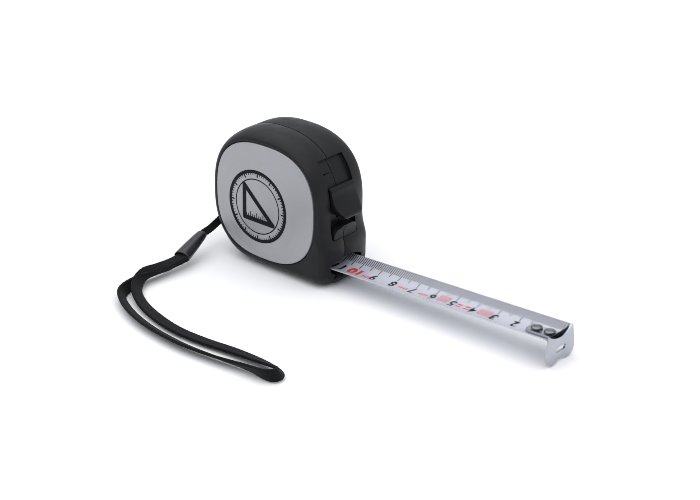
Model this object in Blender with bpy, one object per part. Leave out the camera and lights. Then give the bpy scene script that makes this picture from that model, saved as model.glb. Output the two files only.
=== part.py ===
"""Pocket tape measure with a 19 mm blade drawn out about 11 cm, a thumb lock, a belt clip and a wrist strap.

Metres, +Z up. +X runs out along the blade and +Y points to the belt clip side. The origin is on the flat
base, midway along the case, where the case stands on a table.
"""
import math

import bmesh
import bpy
from mathutils import Matrix, Vector

MM = 0.001
GAP = 0.3 * MM                    # clearance left between pieces that touch

# Case, seen from the side
REAR_X = -30.2 * MM
FRONT_X = 31.2 * MM               # front of the rounded upper part
FOOT_X = 33.6 * MM                # front face of the foot around the mouth
FOOT_TOP_Z = 17.0 * MM
FOOT_RAMP = 9.0 * MM              # height of the slope from the foot up to the rounded part
TOP_Z = 60.3 * MM
WAIST_Z = 29.5 * MM               # height where the case is longest
BASE_REAR_X = -6.0 * MM           # where the flat base starts to curl up to the rear
CORNER_R = 4.0 * MM
UPPER_POWER = 2.35
LOWER_POWER = 2.24

# Case, across
SEAM_Y = -1.3 * MM
SIDE_Y = 15.0 * MM                # flat side of a shell
SHOULDER_Y = 5.0 * MM             # where the crown starts to round over
SHOULDER_INSET = 4.6 * MM
FRONT_INSET = 2.6 * MM
WALL = 2.2 * MM
FRONT_WALL = 4.4 * MM             # thicker, to hold the lock's track
INNER_SIDE_Y = 12.6 * MM
POCKET_Y = 13.8 * MM              # floor of the shallow pocket for a side panel
RIM_WIDTH = 0.9 * MM              # least width of the shell's flat rim round a panel

# Mouth
MOUTH_HALF_WIDTH = 9.9 * MM
MOUTH_LOW_Z = 3.2 * MM
MOUTH_FLAT_Y = 3.0 * MM            # the lower edge is level this far from the middle
MOUTH_CORNER_RISE = 3.9 * MM
MOUTH_SIDE_Z = 9.5 * MM
MOUTH_TOP_Z = 11.7 * MM

# Side panels
PANEL_X = 1.4 * MM
PANEL_Z = 30.4 * MM
PANEL_A = 26.6 * MM
PANEL_B = 25.2 * MM
PANEL_POWER = 2.6
PANEL_EDGE_Y = 15.5 * MM
PANEL_DOME = 0.6 * MM

# Spool
AXIS_X = -0.5 * MM
AXIS_Z = 31.0 * MM
COIL_R = 21.0 * MM
HUB_R = 14.5 * MM
HUB_WALL = 1.3 * MM
FLANGE_R = 22.0 * MM
FLANGE_Y = 11.1 * MM
FLANGE_THICKNESS = 1.1 * MM
ARBOR_R = 3.0 * MM

# Blade
BLADE_HALF_WIDTH = 9.5 * MM
BLADE_THICKNESS = 0.3 * MM
BLADE_HALF_ANGLE = math.radians(36.0)
SCALE_X = 30.7 * MM               # the blade's frame: DRAWN from the end of its scale
BLADE_Z = 5.4 * MM                # middle of the blade there
BLADE_RISE = math.radians(2.0)    # the blade climbs a little towards its hook
DRAWN = 107.5 * MM
BLADE_INSIDE = 4.0 * MM           # how far the straight blade reaches back from there

# End hook
HOOK_PLATE = 0.9 * MM
HOOK_HALF_WIDTH = 9.3 * MM
HOOK_DROP = 9.0 * MM              # below the middle of the blade
HOOK_TONGUE = 13.8 * MM
NAIL_SLOT_HALF_WIDTH = 3.3 * MM
NAIL_SLOT_LOW = -4.9 * MM
NAIL_SLOT_HIGH = -2.8 * MM
TONGUE_HALF_WIDTH = 4.2 * MM
TONGUE_THICKNESS = 0.8 * MM
HOOK_FLOAT = 0.9 * MM             # travel on the rivets, outwards from the blade's end
RIVET_BACK = (4.0 * MM, 10.0 * MM)
RIVET_R = 1.2 * MM
RIVET_HEAD_R = 2.3 * MM

# Lock
TRACK_R = 30.7 * MM               # floor of the lock's track, about the spool axis
TRACK_HALF_WIDTH = 7.8 * MM
TRACK_TOP = math.radians(41.9)
TRACK_END_Z = 21.2 * MM
SADDLE_TOP_Z = 26.0 * MM          # the arched stop at the track's lower end
SADDLE_HALF_WIDTH = 7.0 * MM
LOCK_TOP = math.radians(20.4)
LOCK_HALF_WIDTH = 7.3 * MM
LOCK_FOOT_Z = 29.0 * MM
LOCK_NECK = (math.radians(-3.4), math.radians(0.6))
LOCK_TRAVEL = math.radians(17.0)
LOCK_ARM_R = (23.7 * MM, 25.7 * MM)
LOCK_ARM_HALF_WIDTH = 2.8 * MM

# Fasteners
SCREW_PLACES = ((17.0 * MM, 50.0 * MM), (-17.6 * MM, 49.6 * MM), (-18.5 * MM, 12.5 * MM), (22.2 * MM, 13.6 * MM))
BOSS_R = 2.9 * MM
CLIP_SCREW = (-2.0 * MM, 50.0 * MM)

# Belt clip
CLIP_HALF_WIDTH = 7.0 * MM
CLIP_THICKNESS = 0.9 * MM
CLIP_STAND_OFF = 3.2 * MM

# Strap
PIN_X = -25.2 * MM
PIN_Z = 14.5 * MM
PIN_R = 1.1 * MM
LASH_R = 1.2 * MM
STRAP_R = 1.25 * MM
LASH_ROUTE = ((-26.8, 0.0, 14.4), (-29.4, -1.6, 13.6), (-31.6, -5.2, 11.6), (-31.9, -9.4, 9.8),
              (-31.2, -14.0, 8.9), (-30.8, -18.5, 8.4))
SLEEVE_ENDS = ((-30.75, -19.1, 8.35), (-26.3, -36.3, 4.6))
STRAP_ROUTE = ((-26.1, -37.9, 3.1), (-26.6, -43.0, 2.4), (-28.0, -50.0, 1.9), (-29.6, -57.5, 1.7),
               (-29.0, -65.0, 1.8), (-24.0, -72.5, 1.9), (-16.5, -78.5, 2.1), (-5.0, -83.6, 2.3),
               (9.0, -87.0, 2.4), (26.0, -88.6, 2.4), (42.0, -87.6, 2.4), (56.0, -86.2, 2.5),
               (65.5, -86.6, 2.9), (70.0, -85.3, 3.2), (70.8, -82.4, 3.3), (67.5, -80.2, 3.1),
               (58.0, -78.9, 2.6), (44.0, -78.8, 2.2), (29.0, -80.3, 2.0), (14.0, -80.4, 1.9),
               (-1.0, -77.4, 1.9), (-13.5, -72.6, 2.1), (-21.8, -66.0, 2.9), (-25.6, -58.0, 4.2),
               (-25.9, -50.0, 4.9), (-25.7, -43.0, 5.4), (-25.6, -37.9, 5.9))


def clear_scene():
    for item in list(bpy.data.objects):
        bpy.data.objects.remove(item, do_unlink=True)


def material(name, color, roughness, metallic=0.0):
    made = bpy.data.materials.new(name)
    made.use_nodes = True
    shader = made.node_tree.nodes["Principled BSDF"]
    shader.inputs["Base Color"].default_value = (*color, 1.0)
    shader.inputs["Roughness"].default_value = roughness
    shader.inputs["Metallic"].default_value = metallic
    return made


def link(name, mesh, finish=None, smooth=True):
    item = bpy.data.objects.new(name, mesh)
    bpy.context.scene.collection.objects.link(item)
    if finish:
        mesh.materials.append(finish)
    if smooth:
        mesh.shade_smooth()
        mesh.set_sharp_from_angle(angle=math.radians(35))
    return item


def mesh_from_bmesh(name, work):
    bmesh.ops.recalc_face_normals(work, faces=work.faces)
    mesh = bpy.data.meshes.new(name)
    work.to_mesh(mesh)
    work.free()
    return mesh


def loft(rings):
    """Skin a list of rings of equal length, closing the first and the last with a face."""
    work = bmesh.new()
    loops = [[work.verts.new(point) for point in ring] for ring in rings]
    for one, two in zip(loops, loops[1:]):
        for i in range(len(one)):
            j = (i + 1) % len(one)
            work.faces.new((one[i], one[j], two[j], two[i]))
    work.faces.new(loops[0])
    work.faces.new(list(reversed(loops[-1])))
    return work


def prism(outline, low, high, axis="y"):
    """Extrude a flat outline. Its points are (x, z) for a prism along y, or (y, z) for one along x."""
    def place(u, v, depth):
        return (u, depth, v) if axis == "y" else (depth, u, v)
    return loft([[place(u, v, low) for u, v in outline], [place(u, v, high) for u, v in outline]])


def block(low, high):
    corners = ((low[0], low[2]), (high[0], low[2]), (high[0], high[2]), (low[0], high[2]))
    return prism(corners, low[1], high[1])


def disc(center, radius, low, high, count=24):
    """A cylinder along y, centred on (x, z)."""
    ring = [(center[0] + radius * math.cos(math.tau * i / count), center[1] + radius * math.sin(math.tau * i / count))
            for i in range(count)]
    return prism(ring, low, high)


def turned(profile, count=64):
    """Turn a closed profile of (radius, y) points about the y axis."""
    work = bmesh.new()
    rings = []
    for i in range(count):
        angle = math.tau * i / count
        rings.append([work.verts.new((r * math.cos(angle), y, r * math.sin(angle))) for r, y in profile])
    for i in range(count):
        one = rings[i]
        two = rings[(i + 1) % count]
        for k in range(len(profile)):
            m = (k + 1) % len(profile)
            work.faces.new((one[k], one[m], two[m], two[k]))
    return work


def gather(*works):
    """Put several separate bmesh bodies into one."""
    whole = bmesh.new()
    for work in works:
        bmesh.ops.recalc_face_normals(work, faces=work.faces)
        mesh = bpy.data.meshes.new("part")
        work.to_mesh(mesh)
        work.free()
        whole.from_mesh(mesh)
        bpy.data.meshes.remove(mesh)
    return whole


def tool(name, work):
    """A hidden helper for a Boolean."""
    item = link(name, mesh_from_bmesh(name, work), smooth=False)
    item.hide_render = True
    item.display_type = "WIRE"
    return item


def boolean(item, operation, helper):
    step = item.modifiers.new(operation.lower(), "BOOLEAN")
    step.operation = operation
    step.solver = "EXACT"
    step.object = helper


def bevel(item, width, segments=2, angle=40):
    step = item.modifiers.new("bevel", "BEVEL")
    step.width = width
    step.segments = segments
    step.limit_method = "ANGLE"
    step.angle_limit = math.radians(angle)


def superellipse(t, power):
    """A point on the unit superellipse for the angle t."""
    c = math.cos(t)
    s = math.sin(t)
    return (math.copysign(abs(c) ** (2 / power), c), math.copysign(abs(s) ** (2 / power), s))


def case_outline(inset, front_inset):
    """The case from the side, as (x, z): up the rear, over the top, down the front and back along the base."""
    rear = REAR_X + inset
    front = FRONT_X - front_inset
    foot = FOOT_X - front_inset
    base = inset
    top = TOP_Z - inset
    corner = max(CORNER_R, inset * 0.8)
    points = []
    lower_steps = 18
    for i in range(lower_steps):
        u, v = superellipse(math.pi * 1.5 - math.pi * 0.5 * i / lower_steps, LOWER_POWER)
        points.append((BASE_REAR_X + u * (BASE_REAR_X - rear), WAIST_Z + v * (WAIST_Z - base)))
    upper_steps = 46
    middle = (rear + front) / 2
    for i in range(upper_steps):
        u, v = superellipse(math.pi - math.pi * i / upper_steps, UPPER_POWER)
        points.append((middle + u * (front - rear) / 2, WAIST_Z + v * (top - WAIST_Z)))
    points += [(front, WAIST_Z), (front + (foot - front) * 0.12, FOOT_TOP_Z + FOOT_RAMP * 0.82)]
    points += [(front + (foot - front) * 0.45, FOOT_TOP_Z + FOOT_RAMP * 0.42)]
    points += [(foot - 0.15 * MM, FOOT_TOP_Z), (foot, FOOT_TOP_Z - 3.0 * MM), (foot, base + corner * 1.6)]
    for i in range(5):
        angle = math.pi * 0.5 * i / 4
        points.append((foot - corner + corner * math.cos(angle), base + corner - corner * math.sin(angle)))
    base_steps = 6
    for i in range(1, base_steps):
        points.append((foot - corner + (BASE_REAR_X - foot + corner) * i / base_steps, base))
    return points


def panel_point(x, z, scale=1.0, grow=0.0):
    """Where the ray from the panel's centre through (x, z) meets the panel's outline."""
    angle = math.atan2(z - PANEL_Z, x - PANEL_X)
    a = PANEL_A * scale + grow
    b = PANEL_B * scale + grow
    power = PANEL_POWER
    reach = (abs(math.cos(angle) / a) ** power + abs(math.sin(angle) / b) ** power) ** (-1 / power)
    return (PANEL_X + reach * math.cos(angle), PANEL_Z + reach * math.sin(angle))


def outer_of(one, two):
    """Whichever of two (x, z) points is farther from the panel's centre."""
    return max(one, two, key=lambda point: math.hypot(point[0] - PANEL_X, point[1] - PANEL_Z))


def shell_body(side, seam):
    """One half of the case. side is 1 or -1, and seam is how far from y = 0 its open edge lies."""
    rings = []

    def ring(points, y):
        rings.append([(x, side * y, z) for x, z in points])

    full = case_outline(0, 0)
    rim = [outer_of(point, panel_point(*point, grow=RIM_WIDTH)) for point in case_outline(SHOULDER_INSET, FRONT_INSET)]
    pocket = [panel_point(*point, grow=GAP) for point in rim]
    ring(pocket, POCKET_Y)
    ring(pocket, SIDE_Y)
    ring(rim, SIDE_Y)
    steps = 5
    for i in range(1, steps + 1):
        angle = math.pi * 0.5 * (steps - i) / steps
        share = 1 - math.cos(angle)
        points = [(p[0] + (q[0] - p[0]) * share, p[1] + (q[1] - p[1]) * share) for p, q in zip(full, rim)]
        ring(points, SHOULDER_Y + (SIDE_Y - SHOULDER_Y) * math.sin(angle))
    ring(full, seam)
    inner = case_outline(WALL, FRONT_WALL)
    ring(inner, seam)
    ring(inner, SHOULDER_Y - WALL)
    ring(case_outline(WALL + SHOULDER_INSET * 0.3, FRONT_WALL + FRONT_INSET * 0.3), INNER_SIDE_Y - 1.0 * MM)
    ring(case_outline(WALL + SHOULDER_INSET * 0.6, FRONT_WALL + FRONT_INSET * 0.6), INNER_SIDE_Y)
    return loft(rings)


def polar(radius, angle):
    return (AXIS_X + radius * math.cos(angle), AXIS_Z + radius * math.sin(angle))


def arc(radius, start, end, count):
    return [polar(radius, start + (end - start) * i / count) for i in range(count + 1)]


def shell_bosses(side, seam):
    """Screw posts, arbor socket and pin ribs inside one half."""
    wall = INNER_SIDE_Y + 0.6 * MM
    bodies = [disc(place, BOSS_R, side * wall, side * seam, 20) for place in SCREW_PLACES]
    bodies.append(disc((AXIS_X, AXIS_Z), 5.4 * MM, side * wall, side * 11.5 * MM, 28))
    rib_low = 3.6 * MM
    rib_high = 6.4 * MM
    low = (PIN_X - 1.0 * MM, min(side * rib_low, side * rib_high), PIN_Z - 2.4 * MM)
    high = (PIN_X + 2.6 * MM, max(side * rib_low, side * rib_high), PIN_Z + 2.8 * MM)
    bodies.append(block(low, high))
    if side > 0:
        bodies.append(disc(CLIP_SCREW, 3.2 * MM, wall, 11.4 * MM, 20))
    return tool(f"boss_tool_{side}", gather(*bodies))


def track_outline():
    """The lock's track seen from the side, with its curved floor."""
    end = math.asin((TRACK_END_Z - AXIS_Z) / TRACK_R)
    points = arc(TRACK_R, TRACK_TOP, end, 14)
    points += arc(TRACK_R + 9.0 * MM, end, TRACK_TOP, 8)
    return points


def saddle_tool(side, seam):
    """The arched stop below the thumb piece: rounded top corners, and a hollow front for the thumb."""
    half = SADDLE_HALF_WIDTH
    corner = 5.0 * MM
    front_view = [(side * seam, TRACK_END_Z - 2.0 * MM), (side * half, TRACK_END_Z - 2.0 * MM)]
    for i in range(6):
        angle = math.pi * 0.5 * i / 5
        y = half - corner + corner * math.cos(angle)
        front_view.append((side * y, SADDLE_TOP_Z - corner + corner * math.sin(angle)))
    front_view.append((side * seam, SADDLE_TOP_Z))
    item = tool(f"saddle_tool_{side}", prism(front_view, FRONT_X - 2.0 * MM, FOOT_X + 1.5 * MM, axis="x"))
    profile = [(FRONT_X - 1.5 * MM, TRACK_END_Z - 1.0 * MM), (FOOT_X - 0.9 * MM, TRACK_END_Z - 1.0 * MM),
               (FOOT_X - 1.0 * MM, TRACK_END_Z + 0.6 * MM), (FOOT_X - 0.5 * MM, SADDLE_TOP_Z - 2.0 * MM),
               (FOOT_X + 0.4 * MM, SADDLE_TOP_Z - 0.5 * MM), (FOOT_X + 0.4 * MM, SADDLE_TOP_Z + 1.0 * MM),
               (FRONT_X - 1.5 * MM, SADDLE_TOP_Z + 1.0 * MM)]
    boolean(item, "INTERSECT", tool(f"saddle_profile_tool_{side}", prism(profile, -9.0 * MM, 9.0 * MM)))
    return item


def mouth_outline():
    """The mouth from the front, as (y, z), with an arched top and lower corners that rise beside the blade."""
    points = []
    steps = 10
    for i in range(steps + 1):
        y = MOUTH_HALF_WIDTH * (2 * i / steps - 1)
        rise = max(0.0, (abs(y) - MOUTH_FLAT_Y) / (MOUTH_HALF_WIDTH - MOUTH_FLAT_Y))
        points.append((y, MOUTH_LOW_Z + MOUTH_CORNER_RISE * rise ** 1.5))
    for i in range(steps + 1):
        across = 1 - 2 * i / steps
        points.append((MOUTH_HALF_WIDTH * across, MOUTH_SIDE_Z + (MOUTH_TOP_Z - MOUTH_SIDE_Z) * (1 - across * across)))
    return points


def shell_cutters(side):
    """Two tools that together cut the mouth, the lock's track and slot, the strap notch and the holes."""
    mouth = prism(mouth_outline(), FOOT_X - 8.4 * MM, FOOT_X + 1.0 * MM, axis="x")
    notch = block((REAR_X - 1.0 * MM, -3.0 * MM, PIN_Z - 3.0 * MM), (PIN_X + 5.0 * MM, 3.0 * MM, PIN_Z + 3.0 * MM))
    track = prism(track_outline(), -TRACK_HALF_WIDTH, TRACK_HALF_WIDTH)
    holes = []
    if side > 0:
        holes += [disc(place, 1.5 * MM, -3.0 * MM, POCKET_Y + 0.8 * MM, 16) for place in SCREW_PLACES]
        holes.append(disc(CLIP_SCREW, 1.3 * MM, 11.0 * MM, POCKET_Y + 1.0 * MM, 16))
    else:
        holes += [disc(place, 1.3 * MM, -9.0 * MM, 3.0 * MM, 16) for place in SCREW_PLACES]
    socket = disc((AXIS_X, AXIS_Z), ARBOR_R + GAP, side * 11.0 * MM, side * 12.5 * MM, 28)
    first = tool(f"cut_tool_a_{side}", gather(mouth, notch, track, socket, *holes))
    margin = math.radians(1.2)
    slot_low = LOCK_NECK[0] - margin
    slot_high = LOCK_NECK[1] + LOCK_TRAVEL + margin
    slot_outline = arc(24.0 * MM, slot_low, slot_high, 6) + arc(TRACK_R + 1.5 * MM, slot_high, slot_low, 6)
    slot = prism(slot_outline, -LOCK_ARM_HALF_WIDTH - 0.4 * MM, LOCK_ARM_HALF_WIDTH + 0.4 * MM)
    bumper = block((FOOT_X - 6.6 * MM, -8.0 * MM, 1.2 * MM), (FOOT_X + 1.0 * MM, 8.0 * MM, 4.6 * MM))
    pin = disc((PIN_X, PIN_Z), PIN_R + GAP, -5.4 * MM, 5.4 * MM, 16)
    second = [slot, bumper, pin]
    if side > 0:
        second += [disc(place, 2.3 * MM, 12.0 * MM, POCKET_Y + 1.0 * MM, 20) for place in SCREW_PLACES]
    return first, tool(f"cut_tool_b_{side}", gather(*second))


def shell(name, side, seam, finish):
    item = link(name, mesh_from_bmesh(name, shell_body(side, seam)), finish)
    boolean(item, "UNION", shell_bosses(side, seam))
    first, second = shell_cutters(side)
    boolean(item, "DIFFERENCE", first)
    boolean(item, "UNION", saddle_tool(side, seam))
    boolean(item, "DIFFERENCE", second)
    return item


def side_panel(name, side, domed, finish):
    """A silver plate that lies in a shell's pocket."""
    outline = [(PANEL_X + math.cos(math.tau * i / 72), PANEL_Z + math.sin(math.tau * i / 72)) for i in range(72)]
    steps = [(1.0, POCKET_Y + GAP), (1.0, PANEL_EDGE_Y - 0.5 * MM), (0.985, PANEL_EDGE_Y)]
    if domed:
        for share in (0.85, 0.65, 0.45, 0.22):
            steps.append((share, PANEL_EDGE_Y + PANEL_DOME * (1 - share * share)))
    rings = [[(x, side * y, z) for x, z in (panel_point(*p, scale=scale) for p in outline)] for scale, y in steps]
    item = link(name, mesh_from_bmesh(name, loft(rings)), finish)
    if side > 0:
        hole = disc(CLIP_SCREW, 1.5 * MM, POCKET_Y - 1.0 * MM, PANEL_EDGE_Y + 2.0 * MM, 16)
        boolean(item, "DIFFERENCE", tool("panel_hole_tool", hole))
    return item


def case_screw(name, place, finish):
    profile = [(0.0001 * MM, 12.35 * MM), (2.0 * MM, 12.35 * MM), (2.0 * MM, 13.2 * MM), (1.5 * MM, 13.55 * MM),
               (0.0001 * MM, 13.55 * MM)]
    work = gather(disc((0, 0), 2.0 * MM, 12.35 * MM, 13.5 * MM, 20))
    item = link(name, mesh_from_bmesh(name, work), finish)
    item.location = (place[0], 0, place[1])
    boolean(item, "UNION", tool(name + "_shank_tool", shifted(disc((0, 0), 1.0 * MM, -8.0 * MM, 13.0 * MM, 12), place)))
    cross = gather(shifted(block((-1.3 * MM, 12.9 * MM, -0.25 * MM), (1.3 * MM, 14.5 * MM, 0.25 * MM)), place))
    boolean(item, "DIFFERENCE", tool(name + "_slot_tool", cross))
    return item


def shifted(work, place):
    bmesh.ops.translate(work, verts=work.verts, vec=(place[0], 0, place[1]))
    return work


def spring_arbor(finish):
    """The steel pin that the spring's inner end hooks into, held in both shells."""
    work = disc((0, 0), ARBOR_R, -12.2 * MM, 12.2 * MM, 32)
    item = link("spring_arbor", mesh_from_bmesh("spring_arbor", work), finish)
    item.location = (AXIS_X, 0, AXIS_Z)
    slit = block((-0.4 * MM, -8.5 * MM, -0.1 * MM), (4.0 * MM, 8.5 * MM, 0.7 * MM))
    boolean(item, "DIFFERENCE", tool("arbor_slit_tool", shifted(slit, (AXIS_X, AXIS_Z))))
    bevel(item, 0.3 * MM, 1, 60)
    return item


def recoil_spring(parent, finish):
    """A flat spiral from the arbor out to the hub."""
    turns = 5.0
    steps = 110
    inner = ARBOR_R + 0.5 * MM
    outer = HUB_R - HUB_WALL - 0.6 * MM
    half = 0.22 * MM
    one_side = []
    other_side = []
    for i in range(steps + 1):
        share = i / steps
        angle = math.tau * turns * share
        radius = inner + (outer - inner) * share
        one_side.append(((radius - half) * math.cos(angle), (radius - half) * math.sin(angle)))
        other_side.append(((radius + half) * math.cos(angle), (radius + half) * math.sin(angle)))
    work = bmesh.new()
    layers = []
    for y in (-8.6 * MM, 8.6 * MM):
        layers.append([[work.verts.new((x, y, z)) for x, z in row] for row in (one_side, other_side)])
    low, high = layers
    for i in range(steps):
        work.faces.new((low[0][i], low[0][i + 1], low[1][i + 1], low[1][i]))
        work.faces.new((high[0][i], high[1][i], high[1][i + 1], high[0][i + 1]))
        work.faces.new((low[0][i], high[0][i], high[0][i + 1], low[0][i + 1]))
        work.faces.new((low[1][i], low[1][i + 1], high[1][i + 1], high[1][i]))
    for i in (0, steps):
        work.faces.new((low[0][i], low[1][i], high[1][i], high[0][i]))
    item = link("recoil_spring", mesh_from_bmesh("recoil_spring", work), finish)
    item.parent = parent
    return item


def spool_drum(parent, finish):
    bore = ARBOR_R + GAP
    inner = FLANGE_Y - FLANGE_THICKNESS
    profile = [(bore, -FLANGE_Y), (FLANGE_R, -FLANGE_Y), (FLANGE_R, -inner), (HUB_R, -inner), (HUB_R, inner - GAP * 2),
               (HUB_R - HUB_WALL, inner - GAP * 2), (HUB_R - HUB_WALL, -inner + GAP), (bore, -inner + GAP)]
    item = link("spool_drum", mesh_from_bmesh("spool_drum", turned(profile)), finish)
    item.parent = parent
    return item


def spool_cover(parent, finish):
    bore = ARBOR_R + GAP
    inner = FLANGE_Y - FLANGE_THICKNESS
    profile = [(bore, inner), (bore, FLANGE_Y - GAP), (FLANGE_R, FLANGE_Y - GAP), (FLANGE_R, inner)]
    item = link("spool_cover", mesh_from_bmesh("spool_cover", turned(profile)), finish)
    item.parent = parent
    return item


def tape_coil(parent, finish):
    half = BLADE_HALF_WIDTH
    profile = [(HUB_R + GAP, -half), (COIL_R, -half), (COIL_R, half), (HUB_R + GAP, half)]
    item = link("tape_coil", mesh_from_bmesh("tape_coil", turned(profile)), finish)
    item.parent = parent
    return item


def tape_lead(finish):
    """The stretch of blade between the wound coil and the mouth."""
    start = (AXIS_X, AXIS_Z - COIL_R - GAP - BLADE_THICKNESS / 2)
    end = (SCALE_X - BLADE_INSIDE - GAP * 1.5, BLADE_Z - 0.2 * MM)
    half = BLADE_THICKNESS / 2
    outline = [(start[0], start[1] - half), (end[0], end[1] - half), (end[0], end[1] + half), (start[0], start[1] + half)]
    return link("tape_lead", mesh_from_bmesh("tape_lead", prism(outline, -BLADE_HALF_WIDTH, BLADE_HALF_WIDTH)), finish)


def blade_section(offset_low, offset_high, half_width, count):
    """A strip of the blade's curved section as (y, z), between two offsets from its upper face."""
    radius = BLADE_HALF_WIDTH / BLADE_HALF_ANGLE
    reach = half_width / radius
    strip = []
    for offset, direction in ((offset_low, 1), (offset_high, -1)):
        for i in range(count + 1):
            angle = direction * reach * (2 * i / count - 1)
            strip.append(((radius - offset) * math.sin(angle), radius - (radius - offset) * math.cos(angle)))
    return strip


def rivet_hole_tool(name, parent, radius, stretch):
    """Upright slots for the two rivets, in the blade's own frame."""
    bodies = []
    for back in RIVET_BACK:
        outline = []
        for i in range(16):
            angle = math.tau * i / 16
            extra = stretch if math.cos(angle) < 0 else 0
            outline.append((DRAWN - back + radius * math.cos(angle) - extra, radius * math.sin(angle)))
        low = [(x, y, -2.0 * MM) for x, y in outline]
        high = [(x, y, 4.0 * MM) for x, y in outline]
        bodies.append(loft([low, high]))
    item = tool(name, gather(*bodies))
    item.parent = parent
    return item


def tape_blade(parent, finish):
    strip = blade_section(-BLADE_THICKNESS, 0, BLADE_HALF_WIDTH, 12)
    work = prism(strip, -BLADE_INSIDE, DRAWN, axis="x")
    item = link("tape_blade", mesh_from_bmesh("tape_blade", work), finish)
    item.parent = parent
    boolean(item, "DIFFERENCE", rivet_hole_tool("blade_hole_tool", parent, RIVET_R + GAP, 0))
    return item


def end_hook(parent, finish):
    """An L of steel: a curved tongue on the blade and an upright plate at its end."""
    radius = BLADE_HALF_WIDTH / BLADE_HALF_ANGLE
    lift = GAP + TONGUE_THICKNESS
    crown = []
    count = 12
    reach = HOOK_HALF_WIDTH / radius
    for i in range(count + 1):
        angle = reach * (1 - 2 * i / count)
        crown.append(((radius - lift) * math.sin(angle), radius - (radius - lift) * math.cos(angle)))
    lobe = HOOK_DROP
    foot = [(-HOOK_HALF_WIDTH, -lobe * 0.55), (-7.9 * MM, -lobe * 0.86), (-5.4 * MM, -lobe), (-3.2 * MM, -lobe * 0.97),
            (-1.4 * MM, -lobe * 0.80), (1.4 * MM, -lobe * 0.80), (3.2 * MM, -lobe * 0.97), (5.4 * MM, -lobe),
            (7.9 * MM, -lobe * 0.86), (HOOK_HALF_WIDTH, -lobe * 0.55)]
    start = DRAWN + GAP
    plate = prism(crown + foot, start, start + HOOK_PLATE, axis="x")
    item = link("end_hook", mesh_from_bmesh("end_hook", plate), finish)
    item.parent = parent
    tongue = prism(blade_section(GAP, lift, TONGUE_HALF_WIDTH, 8), DRAWN - HOOK_TONGUE, start + HOOK_PLATE * 0.6, axis="x")
    tongue_tool = tool("tongue_tool", tongue)
    tongue_tool.parent = parent
    boolean(item, "UNION", tongue_tool)
    boolean(item, "DIFFERENCE", rivet_hole_tool("hook_slot_tool", parent, RIVET_R + GAP, HOOK_FLOAT))
    slot = block((start - 1.0 * MM, -NAIL_SLOT_HALF_WIDTH, NAIL_SLOT_LOW),
                 (start + 2.0 * MM, NAIL_SLOT_HALF_WIDTH, NAIL_SLOT_HIGH))
    slot_tool = tool("nail_slot_tool", slot)
    slot_tool.parent = parent
    boolean(item, "DIFFERENCE", slot_tool)
    return item


def hook_rivet(name, parent, back, finish):
    """A shank through the blade and the tongue, with a head above and a closed end below."""
    top = GAP + TONGUE_THICKNESS + GAP
    tail = -BLADE_THICKNESS - GAP
    levels = [(RIVET_HEAD_R * 0.8, tail - 0.6 * MM), (RIVET_HEAD_R, tail - 0.1 * MM), (RIVET_HEAD_R, tail),
              (RIVET_R, tail), (RIVET_R, top), (RIVET_HEAD_R, top), (RIVET_HEAD_R, top + 0.3 * MM),
              (RIVET_HEAD_R * 0.75, top + 0.75 * MM), (RIVET_HEAD_R * 0.3, top + 0.95 * MM)]
    # the curved section rises to each side, so the head and the tail stand off by that much
    sag = RIVET_HEAD_R ** 2 / (2 * BLADE_HALF_WIDTH / BLADE_HALF_ANGLE)
    rings = []
    for radius, z in levels:
        height = z + sag if z >= top else z
        rings.append([(radius * math.cos(math.tau * i / 24), radius * math.sin(math.tau * i / 24), height)
                      for i in range(24)])
    item = link(name, mesh_from_bmesh(name, loft(rings)), finish)
    item.parent = parent
    item.location = (DRAWN - back, 0, 0)
    return item


def lock_shape_tool():
    """The thumb piece from the front: square above and rounded below."""
    corner = 6.8 * MM
    half = LOCK_HALF_WIDTH
    top = 50.0 * MM
    outline = [(-half - 1.0 * MM, top), (-half - 1.0 * MM, LOCK_FOOT_Z + corner * 1.4)]
    for i in range(7):
        angle = math.pi * 0.5 * i / 6
        outline.append((-half + corner - corner * math.cos(angle), LOCK_FOOT_Z + corner - corner * math.sin(angle)))
    outline += [(-y, z) for y, z in reversed(outline)]
    return tool("lock_shape_tool", prism(outline, 25.0 * MM, 45.0 * MM, axis="x"))


def lock_button(parent, finish):
    """Thumb piece on its curved track, with a neck through the wall and an arm down to the blade."""
    floor = TRACK_R + GAP
    low = math.asin((LOCK_FOOT_Z - AXIS_Z) / floor)
    outer = [(34.4, 29.1), (36.0, 29.6), (36.5, 30.4), (36.2, 31.6), (35.3, 32.6), (34.0, 34.1),
             (32.6, 36.3), (31.6, 38.7), (31.1, 41.0)]
    outline = [(x * MM, z * MM) for x, z in outer] + [polar(floor + 1.5 * MM, LOCK_TOP)]
    outline += arc(floor, LOCK_TOP, low, 8)
    item = link("lock_button", mesh_from_bmesh("lock_button", prism(outline, -LOCK_HALF_WIDTH, LOCK_HALF_WIDTH)), finish)
    boolean(item, "INTERSECT", lock_shape_tool())
    neck_outline = arc(LOCK_ARM_R[0] + 1.0 * MM, *LOCK_NECK, 3) + arc(floor + 0.6 * MM, *reversed(LOCK_NECK), 3)
    half = LOCK_ARM_HALF_WIDTH
    boolean(item, "UNION", tool("neck_tool", prism(neck_outline, -half, half)))
    arm_outline = arc(LOCK_ARM_R[0], math.radians(-52.0), math.radians(4.0), 14)
    arm_outline += arc(LOCK_ARM_R[1], math.radians(4.0), math.radians(-52.0), 14)
    boolean(item, "UNION", tool("arm_tool", prism(arm_outline, -half * 0.98, half * 0.98)))
    item.parent = parent
    item.matrix_parent_inverse = Matrix.Translation(-parent.location)
    return item


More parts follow.
